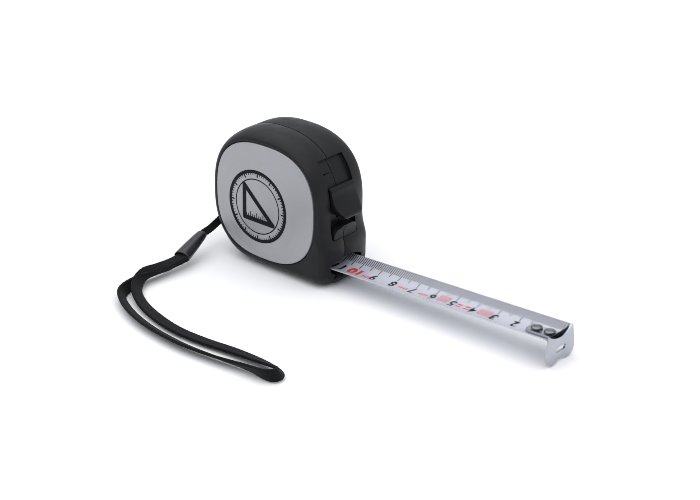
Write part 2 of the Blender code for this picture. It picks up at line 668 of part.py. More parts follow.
def brake_pad(parent, finish):
    """Rubber shoe at the end of the lock's arm, just above the blade."""
    outline = arc(LOCK_ARM_R[0] - 0.4 * MM, math.radians(-60.5), math.radians(-52.8), 3)
    outline += arc(LOCK_ARM_R[1] - 0.4 * MM, math.radians(-52.8), math.radians(-60.5), 3)
    item = link("brake_pad", mesh_from_bmesh("brake_pad", prism(outline, -4.0 * MM, 4.0 * MM)), finish)
    item.parent = parent
    item.matrix_parent_inverse = Matrix.Translation(-parent.location)
    return item


def mouth_bumper(finish):
    """Rubber block under the blade at the mouth, which also takes the hook's blow."""
    back = FOOT_X - 6.3 * MM
    front = FOOT_X + 0.2 * MM
    work = block((back, -7.7 * MM, 1.5 * MM), (front, 7.7 * MM, 3.3 * MM))
    item = link("mouth_bumper", mesh_from_bmesh("mouth_bumper", work), finish)
    bevel(item, 0.4 * MM, 2)
    return item


def belt_clip(finish):
    """A bent steel strip: a foot screwed to the panel, a step out, and a long tongue with a turned-out end."""
    face = PANEL_EDGE_Y + GAP
    thick = CLIP_THICKNESS
    out = face + CLIP_STAND_OFF
    inside = [(face, 54.0), (face, 45.0), (out, 41.5), (out - 0.9 * MM, 24.0), (out - 1.6 * MM, 18.0), (out + 0.6 * MM, 12.5)]
    outside = [(out + thick + 0.7 * MM, 12.9), (out - 0.6 * MM, 18.3), (out, 24.0), (out + thick, 42.2),
               (face + thick, 45.6), (face + thick, 54.0)]
    outline = [(y, z * MM) for y, z in inside + outside]
    low = CLIP_SCREW[0] - CLIP_HALF_WIDTH
    item = link("belt_clip", mesh_from_bmesh("belt_clip", prism(outline, low, low + 2 * CLIP_HALF_WIDTH, axis="x")), finish)
    hole = disc(CLIP_SCREW, 1.5 * MM, face - 1.0 * MM, face + 3.0 * MM, 16)
    boolean(item, "DIFFERENCE", tool("clip_hole_tool", hole))
    return item


def clip_screw(finish):
    start = PANEL_EDGE_Y + GAP + CLIP_THICKNESS + GAP
    place = CLIP_SCREW
    item = link("clip_screw", mesh_from_bmesh("clip_screw", disc(place, 2.6 * MM, start, start + 1.3 * MM, 24)), finish)
    boolean(item, "UNION", tool("clip_shank_tool", disc(place, 1.0 * MM, 11.7 * MM, start + 0.5 * MM, 12)))
    slot = block((place[0] - 1.7 * MM, start + 0.7 * MM, place[1] - 0.3 * MM),
                 (place[0] + 1.7 * MM, start + 2.5 * MM, place[1] + 0.3 * MM))
    boolean(item, "DIFFERENCE", tool("clip_slot_tool", slot))
    return item


def strap_pin(finish):
    item = link("strap_pin", mesh_from_bmesh("strap_pin", disc((0, 0), PIN_R, -5.1 * MM, 5.1 * MM, 20)), finish)
    item.location = (PIN_X, 0, PIN_Z)
    return item


def smooth_route(points, spacing):
    """Read points at even spacing from a smooth curve through the given points, which are in millimetres."""
    places = [Vector(p) * MM for p in points]
    places = [places[0] * 2 - places[1]] + places + [places[-1] * 2 - places[-2]]
    fine = []
    for a, b, c, d in zip(places, places[1:], places[2:], places[3:]):
        for i in range(12):
            t = i / 12
            fine.append(0.5 * (2 * b + (c - a) * t + (2 * a - 5 * b + 4 * c - d) * t * t
                               + (3 * b - a - 3 * c + d) * t ** 3))
    fine.append(places[-2])
    total = sum((q - p).length for p, q in zip(fine, fine[1:]))
    count = max(3, round(total / spacing))
    step = total / count
    even = [fine[0]]
    walked = 0.0
    for p, q in zip(fine, fine[1:]):
        length = (q - p).length
        while len(even) < count and walked + length >= step * len(even):
            even.append(p.lerp(q, (step * len(even) - walked) / length))
        walked += length
    return even + [fine[-1]]


def cord(name, route, radius, spacing, finish):
    curve = bpy.data.curves.new(name, "CURVE")
    curve.dimensions = "3D"
    curve.bevel_depth = radius
    curve.bevel_resolution = 2
    curve.use_fill_caps = True
    points = smooth_route(route, spacing)
    spline = curve.splines.new("POLY")
    spline.points.add(len(points) - 1)
    for point, place in zip(spline.points, points):
        point.co = (*place, 1.0)
    curve.materials.append(finish)
    item = bpy.data.objects.new(name, curve)
    bpy.context.scene.collection.objects.link(item)
    return item


def strap_sleeve(finish):
    """Tapered sleeve that joins the thin lash to the webbing."""
    start = Vector(SLEEVE_ENDS[0]) * MM
    end = Vector(SLEEVE_ENDS[1]) * MM
    length = (end - start).length
    levels = ((1.9, 0.0), (2.4, 0.05), (2.8, 0.25), (3.3, 0.6), (3.6, 0.95), (3.4, 1.0))
    rings = []
    for radius, share in levels:
        ring = []
        for i in range(20):
            angle = math.tau * i / 20
            ring.append((radius * MM * math.cos(angle), radius * MM * 0.72 * math.sin(angle), share * length))
        rings.append(ring)
    item = link("strap_sleeve", mesh_from_bmesh("strap_sleeve", loft(rings)), finish)
    item.rotation_mode = "QUATERNION"
    item.rotation_quaternion = (end - start).to_track_quat("Z", "Y")
    item.location = start
    return item


def empty(name, location, tilt=0.0):
    item = bpy.data.objects.new(name, None)
    bpy.context.scene.collection.objects.link(item)
    item.location = location
    item.rotation_euler = (0, tilt, 0)
    return item


def build():
    clear_scene()
    black = material("shell_black", (0.030, 0.030, 0.034), 0.45)
    silver = material("panel_silver", (0.42, 0.43, 0.45), 0.38, 0.3)
    steel = material("zinc_steel", (0.62, 0.63, 0.65), 0.28, 1.0)
    spring_steel = material("spring_steel", (0.35, 0.36, 0.38), 0.35, 1.0)
    white = material("blade_white", (0.80, 0.81, 0.86), 0.35)
    drum = material("drum_plastic", (0.55, 0.55, 0.53), 0.5)
    rubber = material("rubber_black", (0.02, 0.02, 0.02), 0.8)
    lock = material("lock_black", (0.035, 0.035, 0.038), 0.5)
    clip = material("clip_steel", (0.50, 0.51, 0.53), 0.3, 1.0)
    sleeve = material("sleeve_grey", (0.045, 0.042, 0.055), 0.35)
    webbing = material("webbing_black", (0.012, 0.012, 0.013), 0.9)

    shell("right_shell", -1, -SEAM_Y + GAP / 2, black)
    shell("left_shell", 1, SEAM_Y + GAP / 2, black)
    side_panel("right_panel", -1, True, silver)
    side_panel("left_panel", 1, False, silver)
    for number, place in enumerate(SCREW_PLACES, 1):
        case_screw(f"case_screw_{number}", place, steel)
    spring_arbor(steel)
    spool_axis = empty("spool_axis", (AXIS_X, 0, AXIS_Z))
    spool_drum(spool_axis, drum)
    spool_cover(spool_axis, drum)
    recoil_spring(spool_axis, spring_steel)
    tape_coil(spool_axis, white)
    tape_lead(white)
    blade_frame = empty("blade_frame", (SCALE_X, 0, BLADE_Z), -BLADE_RISE)
    tape_blade(blade_frame, white)
    end_hook(blade_frame, steel)
    for number, back in enumerate(RIVET_BACK, 1):
        hook_rivet(f"hook_rivet_{number}", blade_frame, back, steel)
    lock_axis = empty("lock_axis", (AXIS_X, 0, AXIS_Z))
    lock_button(lock_axis, lock)
    brake_pad(lock_axis, rubber)
    mouth_bumper(rubber)
    belt_clip(clip)
    clip_screw(steel)
    strap_pin(steel)
    cord("strap_lash", LASH_ROUTE, LASH_R, 2.6 * MM, webbing)
    strap_sleeve(sleeve)
    cord("wrist_strap", STRAP_ROUTE, STRAP_R, 4.2 * MM, webbing)


build()
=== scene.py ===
"""Looks of the pocket tape measure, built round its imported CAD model. Lengths are in metres."""

import math

import bmesh
import bpy
from mathutils import Matrix, Vector


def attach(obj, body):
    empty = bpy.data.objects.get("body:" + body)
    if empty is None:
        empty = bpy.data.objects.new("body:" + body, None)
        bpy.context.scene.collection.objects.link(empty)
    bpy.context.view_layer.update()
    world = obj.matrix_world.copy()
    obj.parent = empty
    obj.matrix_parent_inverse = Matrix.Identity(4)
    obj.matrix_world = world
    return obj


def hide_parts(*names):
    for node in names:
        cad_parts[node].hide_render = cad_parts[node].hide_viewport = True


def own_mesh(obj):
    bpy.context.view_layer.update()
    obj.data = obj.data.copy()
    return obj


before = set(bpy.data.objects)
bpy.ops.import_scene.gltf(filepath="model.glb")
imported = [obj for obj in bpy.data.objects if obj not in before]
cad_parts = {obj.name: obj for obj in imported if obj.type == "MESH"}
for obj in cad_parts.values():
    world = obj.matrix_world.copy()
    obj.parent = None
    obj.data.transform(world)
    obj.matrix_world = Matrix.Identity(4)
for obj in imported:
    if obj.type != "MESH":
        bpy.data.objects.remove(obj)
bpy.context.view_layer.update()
MM = 0.001

# Sizes shared with the CAD model
GAP = 0.3 * MM
REAR_X = -30.2 * MM
FRONT_X = 31.2 * MM
FOOT_X = 33.6 * MM
FOOT_TOP_Z = 17.0 * MM
FOOT_RAMP = 9.0 * MM
TOP_Z = 60.3 * MM
WAIST_Z = 29.5 * MM
BASE_REAR_X = -6.0 * MM
CORNER_R = 4.0 * MM
UPPER_POWER = 2.35
LOWER_POWER = 2.24
SEAM_Y = -1.3 * MM
SIDE_Y = 15.0 * MM
SHOULDER_Y = 5.0 * MM
SHOULDER_INSET = 4.6 * MM
FRONT_INSET = 2.6 * MM
WALL = 2.2 * MM
FRONT_WALL = 4.4 * MM
INNER_SIDE_Y = 12.6 * MM
POCKET_Y = 13.8 * MM
RIM_WIDTH = 0.9 * MM
MOUTH_HALF_WIDTH = 9.9 * MM
MOUTH_LOW_Z = 3.2 * MM
MOUTH_FLAT_Y = 3.0 * MM
MOUTH_CORNER_RISE = 3.9 * MM
MOUTH_SIDE_Z = 9.5 * MM
MOUTH_TOP_Z = 11.7 * MM
PANEL_X = 1.4 * MM
PANEL_Z = 30.4 * MM
PANEL_A = 26.6 * MM
PANEL_B = 25.2 * MM
PANEL_POWER = 2.6
PANEL_EDGE_Y = 15.5 * MM
PANEL_DOME = 0.6 * MM
AXIS_X = -0.5 * MM
AXIS_Z = 31.0 * MM
BLADE_HALF_WIDTH = 9.5 * MM
BLADE_THICKNESS = 0.3 * MM
BLADE_R = BLADE_HALF_WIDTH / math.radians(36.0)
SCALE_X = 30.7 * MM
BLADE_Z = 5.4 * MM
BLADE_RISE = math.radians(2.0)
DRAWN = 107.5 * MM
BLADE_INSIDE = 4.0 * MM
HOOK_PLATE = 0.9 * MM
HOOK_HALF_WIDTH = 9.3 * MM
HOOK_DROP = 9.0 * MM
HOOK_TONGUE = 13.8 * MM
NAIL_SLOT_HALF_WIDTH = 3.3 * MM
NAIL_SLOT_LOW = -4.9 * MM
NAIL_SLOT_HIGH = -2.8 * MM
TONGUE_HALF_WIDTH = 4.2 * MM
TONGUE_THICKNESS = 0.8 * MM
HOOK_FLOAT = 0.9 * MM
RIVET_BACK = (4.0 * MM, 10.0 * MM)
RIVET_R = 1.2 * MM
RIVET_HEAD_R = 2.3 * MM
TRACK_R = 30.7 * MM
TRACK_HALF_WIDTH = 7.8 * MM
TRACK_TOP = math.radians(41.9)
TRACK_END_Z = 21.2 * MM
SADDLE_TOP_Z = 26.0 * MM
SADDLE_HALF_WIDTH = 7.0 * MM
LOCK_TOP = math.radians(20.4)
LOCK_HALF_WIDTH = 7.3 * MM
LOCK_FOOT_Z = 29.0 * MM
LOCK_NECK = (math.radians(-3.4), math.radians(0.6))
LOCK_TRAVEL = math.radians(17.0)
LOCK_ARM_HALF_WIDTH = 2.8 * MM
CLIP_SCREW = (-2.0 * MM, 50.0 * MM)
CLIP_FACE_Y = 15.8 * MM
CLIP_HALF_WIDTH = 7.0 * MM
CLIP_THICKNESS = 0.9 * MM
PIN_X = -25.2 * MM
PIN_Z = 14.5 * MM
PIN_R = 1.1 * MM

# Sizes of the looks only
EDGE_ROUND = 0.22 * MM
EDGE_MIDDLE = 0.3
SCREW_HOLE_R = 1.5 * MM
CIRCLE = 48
SLEEVE_FLATTEN = 0.74
RIB_HEIGHT = 0.05 * MM
SCALLOP = 0.10 * MM
BAND_ACROSS = 14
BAND_EDGE = 0.82
TICK_WIDTH = 0.38 * MM
TICK_MARGIN = 0.15 * MM
CENTIMETRE_TICK_S = 2.7 * MM
HALF_TICK_S = 3.5 * MM
MILLIMETRE_TICK_S = 5.5 * MM
NUMBER_S = -0.4 * MM
NUMBER_SIZE = (2.7 * MM, 4.9 * MM)
ELEVEN_SIZE = (5.2 * MM, 4.9 * MM)
TEN_SIZE = (6.4 * MM, 5.2 * MM)
NUMBER_WEIGHT = 0.025
TEN_WEIGHT = 0.055
FLOOR_HALF = 1.6
FLOOR_Z = -0.2 * MM

# Sleeve ends, in millimetres
SLEEVE_ENDS = ((-30.75, -19.1, 8.35), (-26.3, -36.3, 4.6))

# Middle lines of the cords in metres, and how far each band is turned about its line in degrees.
# A weave is its pitch along and across the band, in millimetres.
LASH_ROUTE = ((-0.0252, 0, 0.0163), (-0.0267, 0, 0.0154), (-0.0278, -0.0006, 0.0142),
              (-0.0294, -0.0016, 0.0136), (-0.0316, -0.0052, 0.0116), (-0.0319, -0.0094, 0.0098),
              (-0.0312, -0.0140, 0.0089), (-0.0308, -0.0185, 0.0084), (-0.0301, -0.0216, 0.0078))
STRAP_ROUTE = ((-0.0262, -0.0345, 0.0040), (-0.0261, -0.0379, 0.0036), (-0.0266, -0.0430, 0.0030),
               (-0.0262, -0.0487, 0.0025), (-0.0268, -0.0550, 0.0027), (-0.0262, -0.0625, 0.0030),
               (-0.0240, -0.0725, 0.0025), (-0.0165, -0.0785, 0.0022), (-0.0050, -0.0836, 0.0021),
               (0.0090, -0.0870, 0.0021), (0.0260, -0.0886, 0.0021), (0.0420, -0.0876, 0.0021),
               (0.0560, -0.0862, 0.0024), (0.0650, -0.0865, 0.0028), (0.0692, -0.0852, 0.0030),
               (0.0699, -0.0824, 0.0030), (0.0670, -0.0802, 0.0028), (0.0580, -0.0789, 0.0022),
               (0.0440, -0.0788, 0.0016), (0.0290, -0.0803, 0.0014), (0.0140, -0.0804, 0.0014),
               (-0.0010, -0.0774, 0.0015), (-0.0135, -0.0726, 0.0020), (-0.0222, -0.0663, 0.0032),
               (-0.0261, -0.0585, 0.0046), (-0.0259, -0.0500, 0.0045), (-0.0257, -0.0430, 0.0047),
               (-0.0256, -0.0379, 0.0051), (-0.0260, -0.0345, 0.0054))
STRAP_ROLLS = (-180, -180, -176, -160, -132, -100, -64, -42, -32, -30, -30, -34, -48, -68, -90,
               -112, -138, -158, -170, -172, -172, -170, -158, -138, -138, -158, -176, -180, -180)
STRAP_WIDTH = 5.6 * MM
STRAP_THICKNESS = 1.2 * MM
STRAP_STEP = 0.45 * MM
STRAP_WEAVE = (1.3, 1.0)
LASH_ROLLS = (20, 10, 0, -15, -50, -60, -50, -30, -10)
LASH_WIDTH = 3.4 * MM
LASH_THICKNESS = 1.1 * MM
LASH_STEP = 0.35 * MM
LASH_WEAVE = (1.1, 0.9)

# Emblem, its shallow step in the panel and the thickness of all printing
EMBLEM_X = -1.8 * MM
EMBLEM_Z = 28.2 * MM
EMBLEM_INNER = 12.7 * MM
EMBLEM_OUTER = 16.0 * MM
STEP_R = 20.0 * MM
STEP_DEPTH = 0.10 * MM
STEP_WIDTH = 0.7 * MM
INK = 0.03 * MM


def polar(radius, angle):
    """A point of the side view, as (x, z), on a circle about the drum's axis."""
    return (AXIS_X + radius * math.cos(angle), AXIS_Z + radius * math.sin(angle))


def arc(radius, start, end, count):
    return [polar(radius, start + (end - start) * i / count) for i in range(count + 1)]


# Camera

camera = bpy.data.objects.new("camera", bpy.data.cameras.new("camera"))
bpy.context.scene.collection.objects.link(camera)
camera.data.lens = 89.94
camera.data.sensor_width = 36.0
camera.data.clip_start = 0.01
camera.matrix_world = Matrix(((0.7693, -0.2788, 0.5748, 0.4491), (0.6386, 0.3103, -0.7042, -0.5070),
                              (0.0179, 0.9088, 0.4168, 0.3145), (0, 0, 0, 1)))
bpy.context.scene.camera = camera


# Materials

class Tree:
    """Short ways to add and join shader nodes."""

    def __init__(self, name):
        self.material = bpy.data.materials.new(name)
        self.material.use_nodes = True
        self.nodes = self.material.node_tree.nodes
        self.links = self.material.node_tree.links
        self.shader = self.nodes["Principled BSDF"]
        self.place = self.node("ShaderNodeTexCoord").outputs["Object"]

    def node(self, kind, **values):
        made = self.nodes.new(kind)
        for key, value in values.items():
            setattr(made, key, value)
        return made

    def join(self, source, target):
        self.links.new(source, target)

    def scaled(self, source, scale):
        mapping = self.node("ShaderNodeMapping")
        mapping.inputs["Scale"].default_value = scale
        self.join(source, mapping.inputs["Vector"])
        return mapping.outputs["Vector"]

    def noise(self, scale, detail=3.0, stretch=None):
        made = self.node("ShaderNodeTexNoise")
        made.inputs["Scale"].default_value = scale
        made.inputs["Detail"].default_value = detail
        self.join(self.scaled(self.place, stretch) if stretch else self.place, made.inputs["Vector"])
        return made.outputs["Fac"]

    def ranged(self, source, low, high, source_low=0.3, source_high=0.7):
        made = self.node("ShaderNodeMapRange")
        made.inputs["From Min"].default_value = source_low
        made.inputs["From Max"].default_value = source_high
        made.inputs["To Min"].default_value = low
        made.inputs["To Max"].default_value = high
        self.join(source, made.inputs["Value"])
        return made.outputs["Result"]

    def mixed(self, factor, one, two):
        made = self.node("ShaderNodeMix", data_type="RGBA")
        for socket, value in ((6, one), (7, two)):
            if isinstance(value, tuple):
                made.inputs[socket].default_value = (*value, 1.0)
            else:
                self.join(value, made.inputs[socket])
        self.join(factor, made.inputs[0])
        return made.outputs[2]

    def math(self, operation, one, two):
        made = self.node("ShaderNodeMath", operation=operation)
        for i, value in enumerate((one, two)):
            if isinstance(value, (int, float)):
                made.inputs[i].default_value = value
            else:
                self.join(value, made.inputs[i])
        return made.outputs[0]

    def bump(self, height, strength, distance, edge=0.0):
        made = self.node("ShaderNodeBump")
        made.inputs["Strength"].default_value = strength
        made.inputs["Distance"].default_value = distance
        self.join(height, made.inputs["Height"])
        if edge:
            rounding = self.node("ShaderNodeBevel", samples=4)
            rounding.inputs["Radius"].default_value = edge
            self.join(rounding.outputs["Normal"], made.inputs["Normal"])
        self.join(made.outputs["Normal"], self.shader.inputs["Normal"])


def finish(name, color, roughness, metallic=0.0, vary=0.08, blotch=70.0, grain=2500.0, relief=0.15, edge=0.0,
           coat=0.0, stretch=None, specular=0.5):
    """A moulded, painted or plated finish: slow colour and gloss variation, with a fine grain on top."""
    tree = Tree(name)
    slow = tree.noise(blotch, 4.0)
    dark = tuple(c * (1 - vary) for c in color)
    light = tuple(min(1.0, c * (1 + vary)) for c in color)
    tree.join(tree.mixed(tree.ranged(slow, 0.0, 1.0), dark, light), tree.shader.inputs["Base Color"])
    gloss = tree.noise(blotch * 4.0, 5.0, stretch)
    rough = tree.ranged(gloss, roughness * 0.85, min(1.0, roughness * 1.15))
    tree.join(rough, tree.shader.inputs["Roughness"])
    tree.bump(tree.noise(grain, 3.0, stretch), relief, 0.03 * MM, edge)
    tree.shader.inputs["Metallic"].default_value = metallic
    tree.shader.inputs["Coat Weight"].default_value = coat
    tree.shader.inputs["Coat Roughness"].default_value = 0.12
    tree.shader.inputs["Specular IOR Level"].default_value = specular
    return tree.material


def woven(name, color, weave_pitch):
    """Webbing: ribs along and across the band, read from its UV map, whose unit is a millimetre."""
    tree = Tree(name)
    pitch_along, pitch_across = weave_pitch
    uv = tree.node("ShaderNodeUVMap", uv_map="UVMap").outputs["UV"]
    parts = tree.node("ShaderNodeSeparateXYZ")
    tree.join(uv, parts.inputs[0])
    along = tree.math("SINE", tree.math("MULTIPLY", parts.outputs["X"], math.tau / pitch_along), 0.0)
    across = tree.math("SINE", tree.math("MULTIPLY", parts.outputs["Y"], math.tau / pitch_across), 0.0)
    weave = tree.math("MULTIPLY", along, across)
    fuzz = tree.noise(1800.0, 4.0)
    light = tuple(c * 2.1 for c in color)
    shade = tree.math("ADD", tree.ranged(weave, 0.0, 0.7, -1.0, 1.0), tree.ranged(fuzz, 0.0, 0.3))
    tree.join(tree.mixed(shade, color, light), tree.shader.inputs["Base Color"])
    tree.join(tree.ranged(fuzz, 0.72, 0.95), tree.shader.inputs["Roughness"])
    tree.bump(tree.math("ADD", weave, tree.math("MULTIPLY", fuzz, 0.8)), 0.5, 0.08 * MM)
    tree.shader.inputs["Sheen Weight"].default_value = 0.06
    tree.shader.inputs["Specular IOR Level"].default_value = 0.12
    return tree.material


BLACK = finish("shell_plastic", (0.0060, 0.0060, 0.0078), 0.42, grain=3200.0, relief=0.22,
               edge=0.35 * MM, specular=0.24)
LOCK = finish("lock_plastic", (0.0055, 0.0055, 0.0068), 0.38, grain=3200.0, relief=0.2,
              edge=0.3 * MM, specular=0.22)
SILVER = finish("panel_satin", (0.330, 0.336, 0.352), 0.36, 0.35, vary=0.03, grain=5200.0, relief=0.12)
STEEL = finish("plated_steel", (0.43, 0.45, 0.49), 0.24, 1.0, vary=0.06, blotch=140.0, relief=0.08)
RIVET = finish("rivet_steel", (0.20, 0.205, 0.22), 0.22, 1.0, vary=0.10, blotch=220.0, relief=0.1)
SPRING = finish("spring_steel", (0.35, 0.36, 0.38), 0.35, 1.0, vary=0.12, stretch=(1.0, 20.0, 1.0))
CLIP = finish("clip_steel", (0.50, 0.51, 0.53), 0.26, 1.0, vary=0.06, stretch=(1.0, 1.0, 12.0))
DRUM = finish("drum_plastic", (0.52, 0.52, 0.50), 0.5, vary=0.05)
RUBBER = finish("bumper_rubber", (0.012, 0.012, 0.012), 0.75, vary=0.15, relief=0.5)
SLEEVE = finish("sleeve_vinyl", (0.012, 0.0113, 0.0145), 0.30, vary=0.10, grain=900.0, relief=0.08)
BLADE = finish("blade_lacquer", (0.470, 0.480, 0.545), 0.34, vary=0.02, blotch=90.0, relief=0.05, coat=0.35)
BLACK_INK = finish("ink_black", (0.0045, 0.0045, 0.0070), 0.55, vary=0.25, blotch=600.0, relief=0.05,
                   specular=0.12)
RED_INK = finish("ink_red", (0.58, 0.035, 0.045), 0.45, vary=0.12, blotch=600.0, relief=0.05)
WEBBING = woven("webbing_black", (0.0032, 0.0032, 0.0036), STRAP_WEAVE)


# Mesh helpers

helpers = []


def new_object(name, work):
    """An object in the scene from a mesh, or from mesh work that is done with here."""
    if isinstance(work, bmesh.types.BMesh):
        bmesh.ops.recalc_face_normals(work, faces=work.faces)
        mesh = bpy.data.meshes.new(name)
        work.to_mesh(mesh)
        work.free()
        work = mesh
    item = bpy.data.objects.new(name, work)
    bpy.context.scene.collection.objects.link(item)
    return item


def smooth(item, angle=35):
    item.data.shade_smooth()
    item.data.set_sharp_from_angle(angle=math.radians(angle))


def settle(item):
    """Turn the item's modifiers into its mesh, and remove the objects that helped to cut it."""
    graph = bpy.context.evaluated_depsgraph_get()
    mesh = bpy.data.meshes.new_from_object(item.evaluated_get(graph))
    item.modifiers.clear()
    item.data = mesh
    while helpers:
        bpy.data.objects.remove(helpers.pop())


def boolean(item, operation, work):
    """Cut the item with, join it to, or keep only what it shares with another closed mesh."""
    helper = new_object("helper", work)
    helper.hide_render = True
    helpers.append(helper)
    step = item.modifiers.new(operation.lower(), "BOOLEAN")
    step.operation = operation
    step.solver = "EXACT"
    step.object = helper


def bevel(item, width, segments=3, angle=40):
    step = item.modifiers.new("bevel", "BEVEL")
    step.width = width
    step.segments = segments
    step.limit_method = "ANGLE"
    step.angle_limit = math.radians(angle)
    step.harden_normals = False


def dress(item, material, body, slot, *nodes, angle=35):
    """Give a finished piece its material and smooth shading, put it on its body and hide the CAD nodes that
    it stands for. Its slot is not used.
    """
    item.data.materials.clear()
    item.data.materials.append(material)
    smooth(item, angle)
    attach(item, body)
    if nodes:
        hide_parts(*nodes)
    return item


def loft(rings):
    """Skin a list of rings of equal length, and close the first and the last with a face."""
    work = bmesh.new()
    loops = [[work.verts.new(point) for point in ring] for ring in rings]
    for one, two in zip(loops, loops[1:]):
        for i in range(len(one)):
            j = (i + 1) % len(one)
            work.faces.new((one[i], one[j], two[j], two[i]))
    work.faces.new(loops[0])
    work.faces.new(list(reversed(loops[-1])))
    return work


def prism(outline, low, high, axis="y"):
    """Extrude a flat outline: (x, z) points for a prism along y, or (y, z) points for one along x."""
    def place(u, v, depth):
        return (u, depth, v) if axis == "y" else (depth, u, v)
    return loft([[place(u, v, low) for u, v in outline], [place(u, v, high) for u, v in outline]])


def block(low, high):
    """A box between two corners."""
    corners = ((low[0], low[2]), (high[0], low[2]), (high[0], high[2]), (low[0], high[2]))
    return prism(corners, low[1], high[1])


def circle(radius, count=CIRCLE, center=(0.0, 0.0)):
    turns = [math.tau * i / count for i in range(count)]
    return [(center[0] + radius * math.cos(turn), center[1] + radius * math.sin(turn)) for turn in turns]


def disc(center, radius, low, high):
    """A round bar along y, about a centre given as (x, z)."""
    return prism(circle(radius, center=center), low, high)


def gather(*works):
    """Put several meshes that don't touch into one."""
    whole = bmesh.new()
    for work in works:
        mesh = bpy.data.meshes.new("part")
        bmesh.ops.recalc_face_normals(work, faces=work.faces)
        work.to_mesh(mesh)
        work.free()
        whole.from_mesh(mesh)
        bpy.data.meshes.remove(mesh)
    return whole


def curve_through(points, steps, closed=False):
    """Extra points on a smooth curve through the given points, of any dimension."""
    places = [Vector(p) for p in points]
    if closed:
        places = [places[-1]] + places + [places[0], places[1]]
    else:
        places = [places[0] * 2 - places[1]] + places + [places[-1] * 2 - places[-2]]
    fine = []
    for a, b, c, d in zip(places, places[1:], places[2:], places[3:]):
        for i in range(steps):
            t = i / steps
            fine.append(0.5 * (2 * b + (c - a) * t + (2 * a - 5 * b + 4 * c - d) * t * t
                               + (3 * b - a - 3 * c + d) * t ** 3))
    if not closed:
        fine.append(places[-2])
    return fine


# Webbing

def walk(route, rolls, spacing):
    """Evenly spaced (point, roll) pairs along a smooth route, with the step between them and its length."""
    fine = curve_through([(*p, roll) for p, roll in zip(route, rolls)], 12)
    places = [(Vector(p[:3]), p[3]) for p in fine]
    total = sum((q[0] - p[0]).length for p, q in zip(places, places[1:]))
    count = round(total / spacing)
    step = total / count
    even = [places[0]]
    walked = 0.0
    for p, q in zip(places, places[1:]):
        length = (q[0] - p[0]).length
        while len(even) < count and walked + length >= step * len(even):
            share = (step * len(even) - walked) / length
            even.append((p[0].lerp(q[0], share), p[1] + (q[1] - p[1]) * share))
        walked += length
    even.append(places[-1])
    return even, step, total


def band(name, route, rolls, width, thickness, spacing, weave_pitch):
    """A woven flat band along a route, turned about it by the given angles, with its weave in relief.

    Returns the piece, the points along its middle and its length.
    """
    pitch_along, pitch_across = weave_pitch
    even, step, total = walk(route, rolls, spacing)
    work = bmesh.new()
    uv = work.loops.layers.uv.new("UVMap")
    rings = []
    for i, (center, roll) in enumerate(even):
        before = even[max(0, i - 1)][0]
        after = even[min(len(even) - 1, i + 1)][0]
        forward = (after - before).normalized()
        side = Vector((0, 0, 1)).cross(forward).normalized()
        up = forward.cross(side)
        turn = math.radians(roll)
        wide = side * math.cos(turn) + up * math.sin(turn)
        thick = forward.cross(wide)
        turns_along = math.tau * i * step / MM / pitch_along
        ring = []
        for j in range(BAND_ACROSS * 2):
            face = 1 if j < BAND_ACROSS else -1
            v = face * (-1 + 2 * (j % BAND_ACROSS + 0.5) / BAND_ACROSS)
            edge = max(0.0, abs(v) - BAND_EDGE) / (1 - BAND_EDGE)
            rib = math.sin(turns_along) * math.sin(math.tau * v * width / 2 / MM / pitch_across)
            scallop = SCALLOP * math.sin(turns_along / 1.5) * edge
            height = thickness / 2 * (1 - 0.55 * edge * edge) + RIB_HEIGHT * rib
            spot = center + wide * (v * (width / 2 + scallop)) + thick * (face * height)
            ring.append((work.verts.new(spot), v))
        rings.append(ring)
    for i, (one, two) in enumerate(zip(rings, rings[1:])):
        for j in range(BAND_ACROSS * 2):
            k = (j + 1) % (BAND_ACROSS * 2)
            made = work.faces.new((one[j][0], one[k][0], two[k][0], two[j][0]))
            corners = ((i, one[j][1]), (i, one[k][1]), (i + 1, two[k][1]), (i + 1, two[j][1]))
            for loop, (along, v) in zip(made.loops, corners):
                loop[uv].uv = (along * step / MM, v * width / 2 / MM)
    work.faces.new([vert for vert, _ in rings[0]])
    work.faces.new([vert for vert, _ in reversed(rings[-1])])
    return new_object(name, work), [tuple(place) for place, _ in even], total


def sleeve():
    """Tapered sleeve with a rounded mouth that the webbing goes into: radius in mm, share of the length."""
    start = Vector(SLEEVE_ENDS[0]) * MM
    end = Vector(SLEEVE_ENDS[1]) * MM
    length = (end - start).length
    profile = ((0.9, 0.06), (1.75, 0.04), (1.85, 0.015), (2.0, 0.0), (2.25, 0.008), (2.4, 0.05), (2.62, 0.15),
               (2.8, 0.25), (3.05, 0.42), (3.3, 0.6), (3.5, 0.8), (3.6, 0.93), (3.6, 0.975), (3.5, 0.995),
               (3.35, 1.0), (3.2, 0.99), (3.12, 0.96), (3.05, 0.82), (2.0, 0.80))
    rings = [[(x, y * SLEEVE_FLATTEN, share * length) for x, y in circle(radius * MM, 64)]
             for radius, share in profile]
    item = new_object("cord_sleeve", loft(rings))
    turn = (end - start).to_track_quat("Z", "Y").to_matrix().to_4x4()
    item.data.transform(Matrix.Translation(start) @ turn)
    return dress(item, SLEEVE, "case", "sleeve", "strap_sleeve", angle=50)


sleeve_piece = sleeve()
strap, strap_path, strap_length = band("wrist_webbing", STRAP_ROUTE, STRAP_ROLLS, STRAP_WIDTH,
                                       STRAP_THICKNESS, STRAP_STEP, STRAP_WEAVE)
dress(strap, WEBBING, "case", "webbing", "wrist_strap", angle=80)
lash, lash_path, lash_length = band("lash_webbing", LASH_ROUTE, LASH_ROLLS, LASH_WIDTH,
                                    LASH_THICKNESS, LASH_STEP, LASH_WEAVE)
dress(lash, WEBBING, "case", "webbing", "strap_lash", angle=80)


# Case

def superellipse(t, power):
    """A point of the rounded square of half size 1, by its angle. A power of 2 gives a circle."""
    c = math.cos(t)
    s = math.sin(t)
    return (math.copysign(abs(c) ** (2 / power), c), math.copysign(abs(s) ** (2 / power), s))


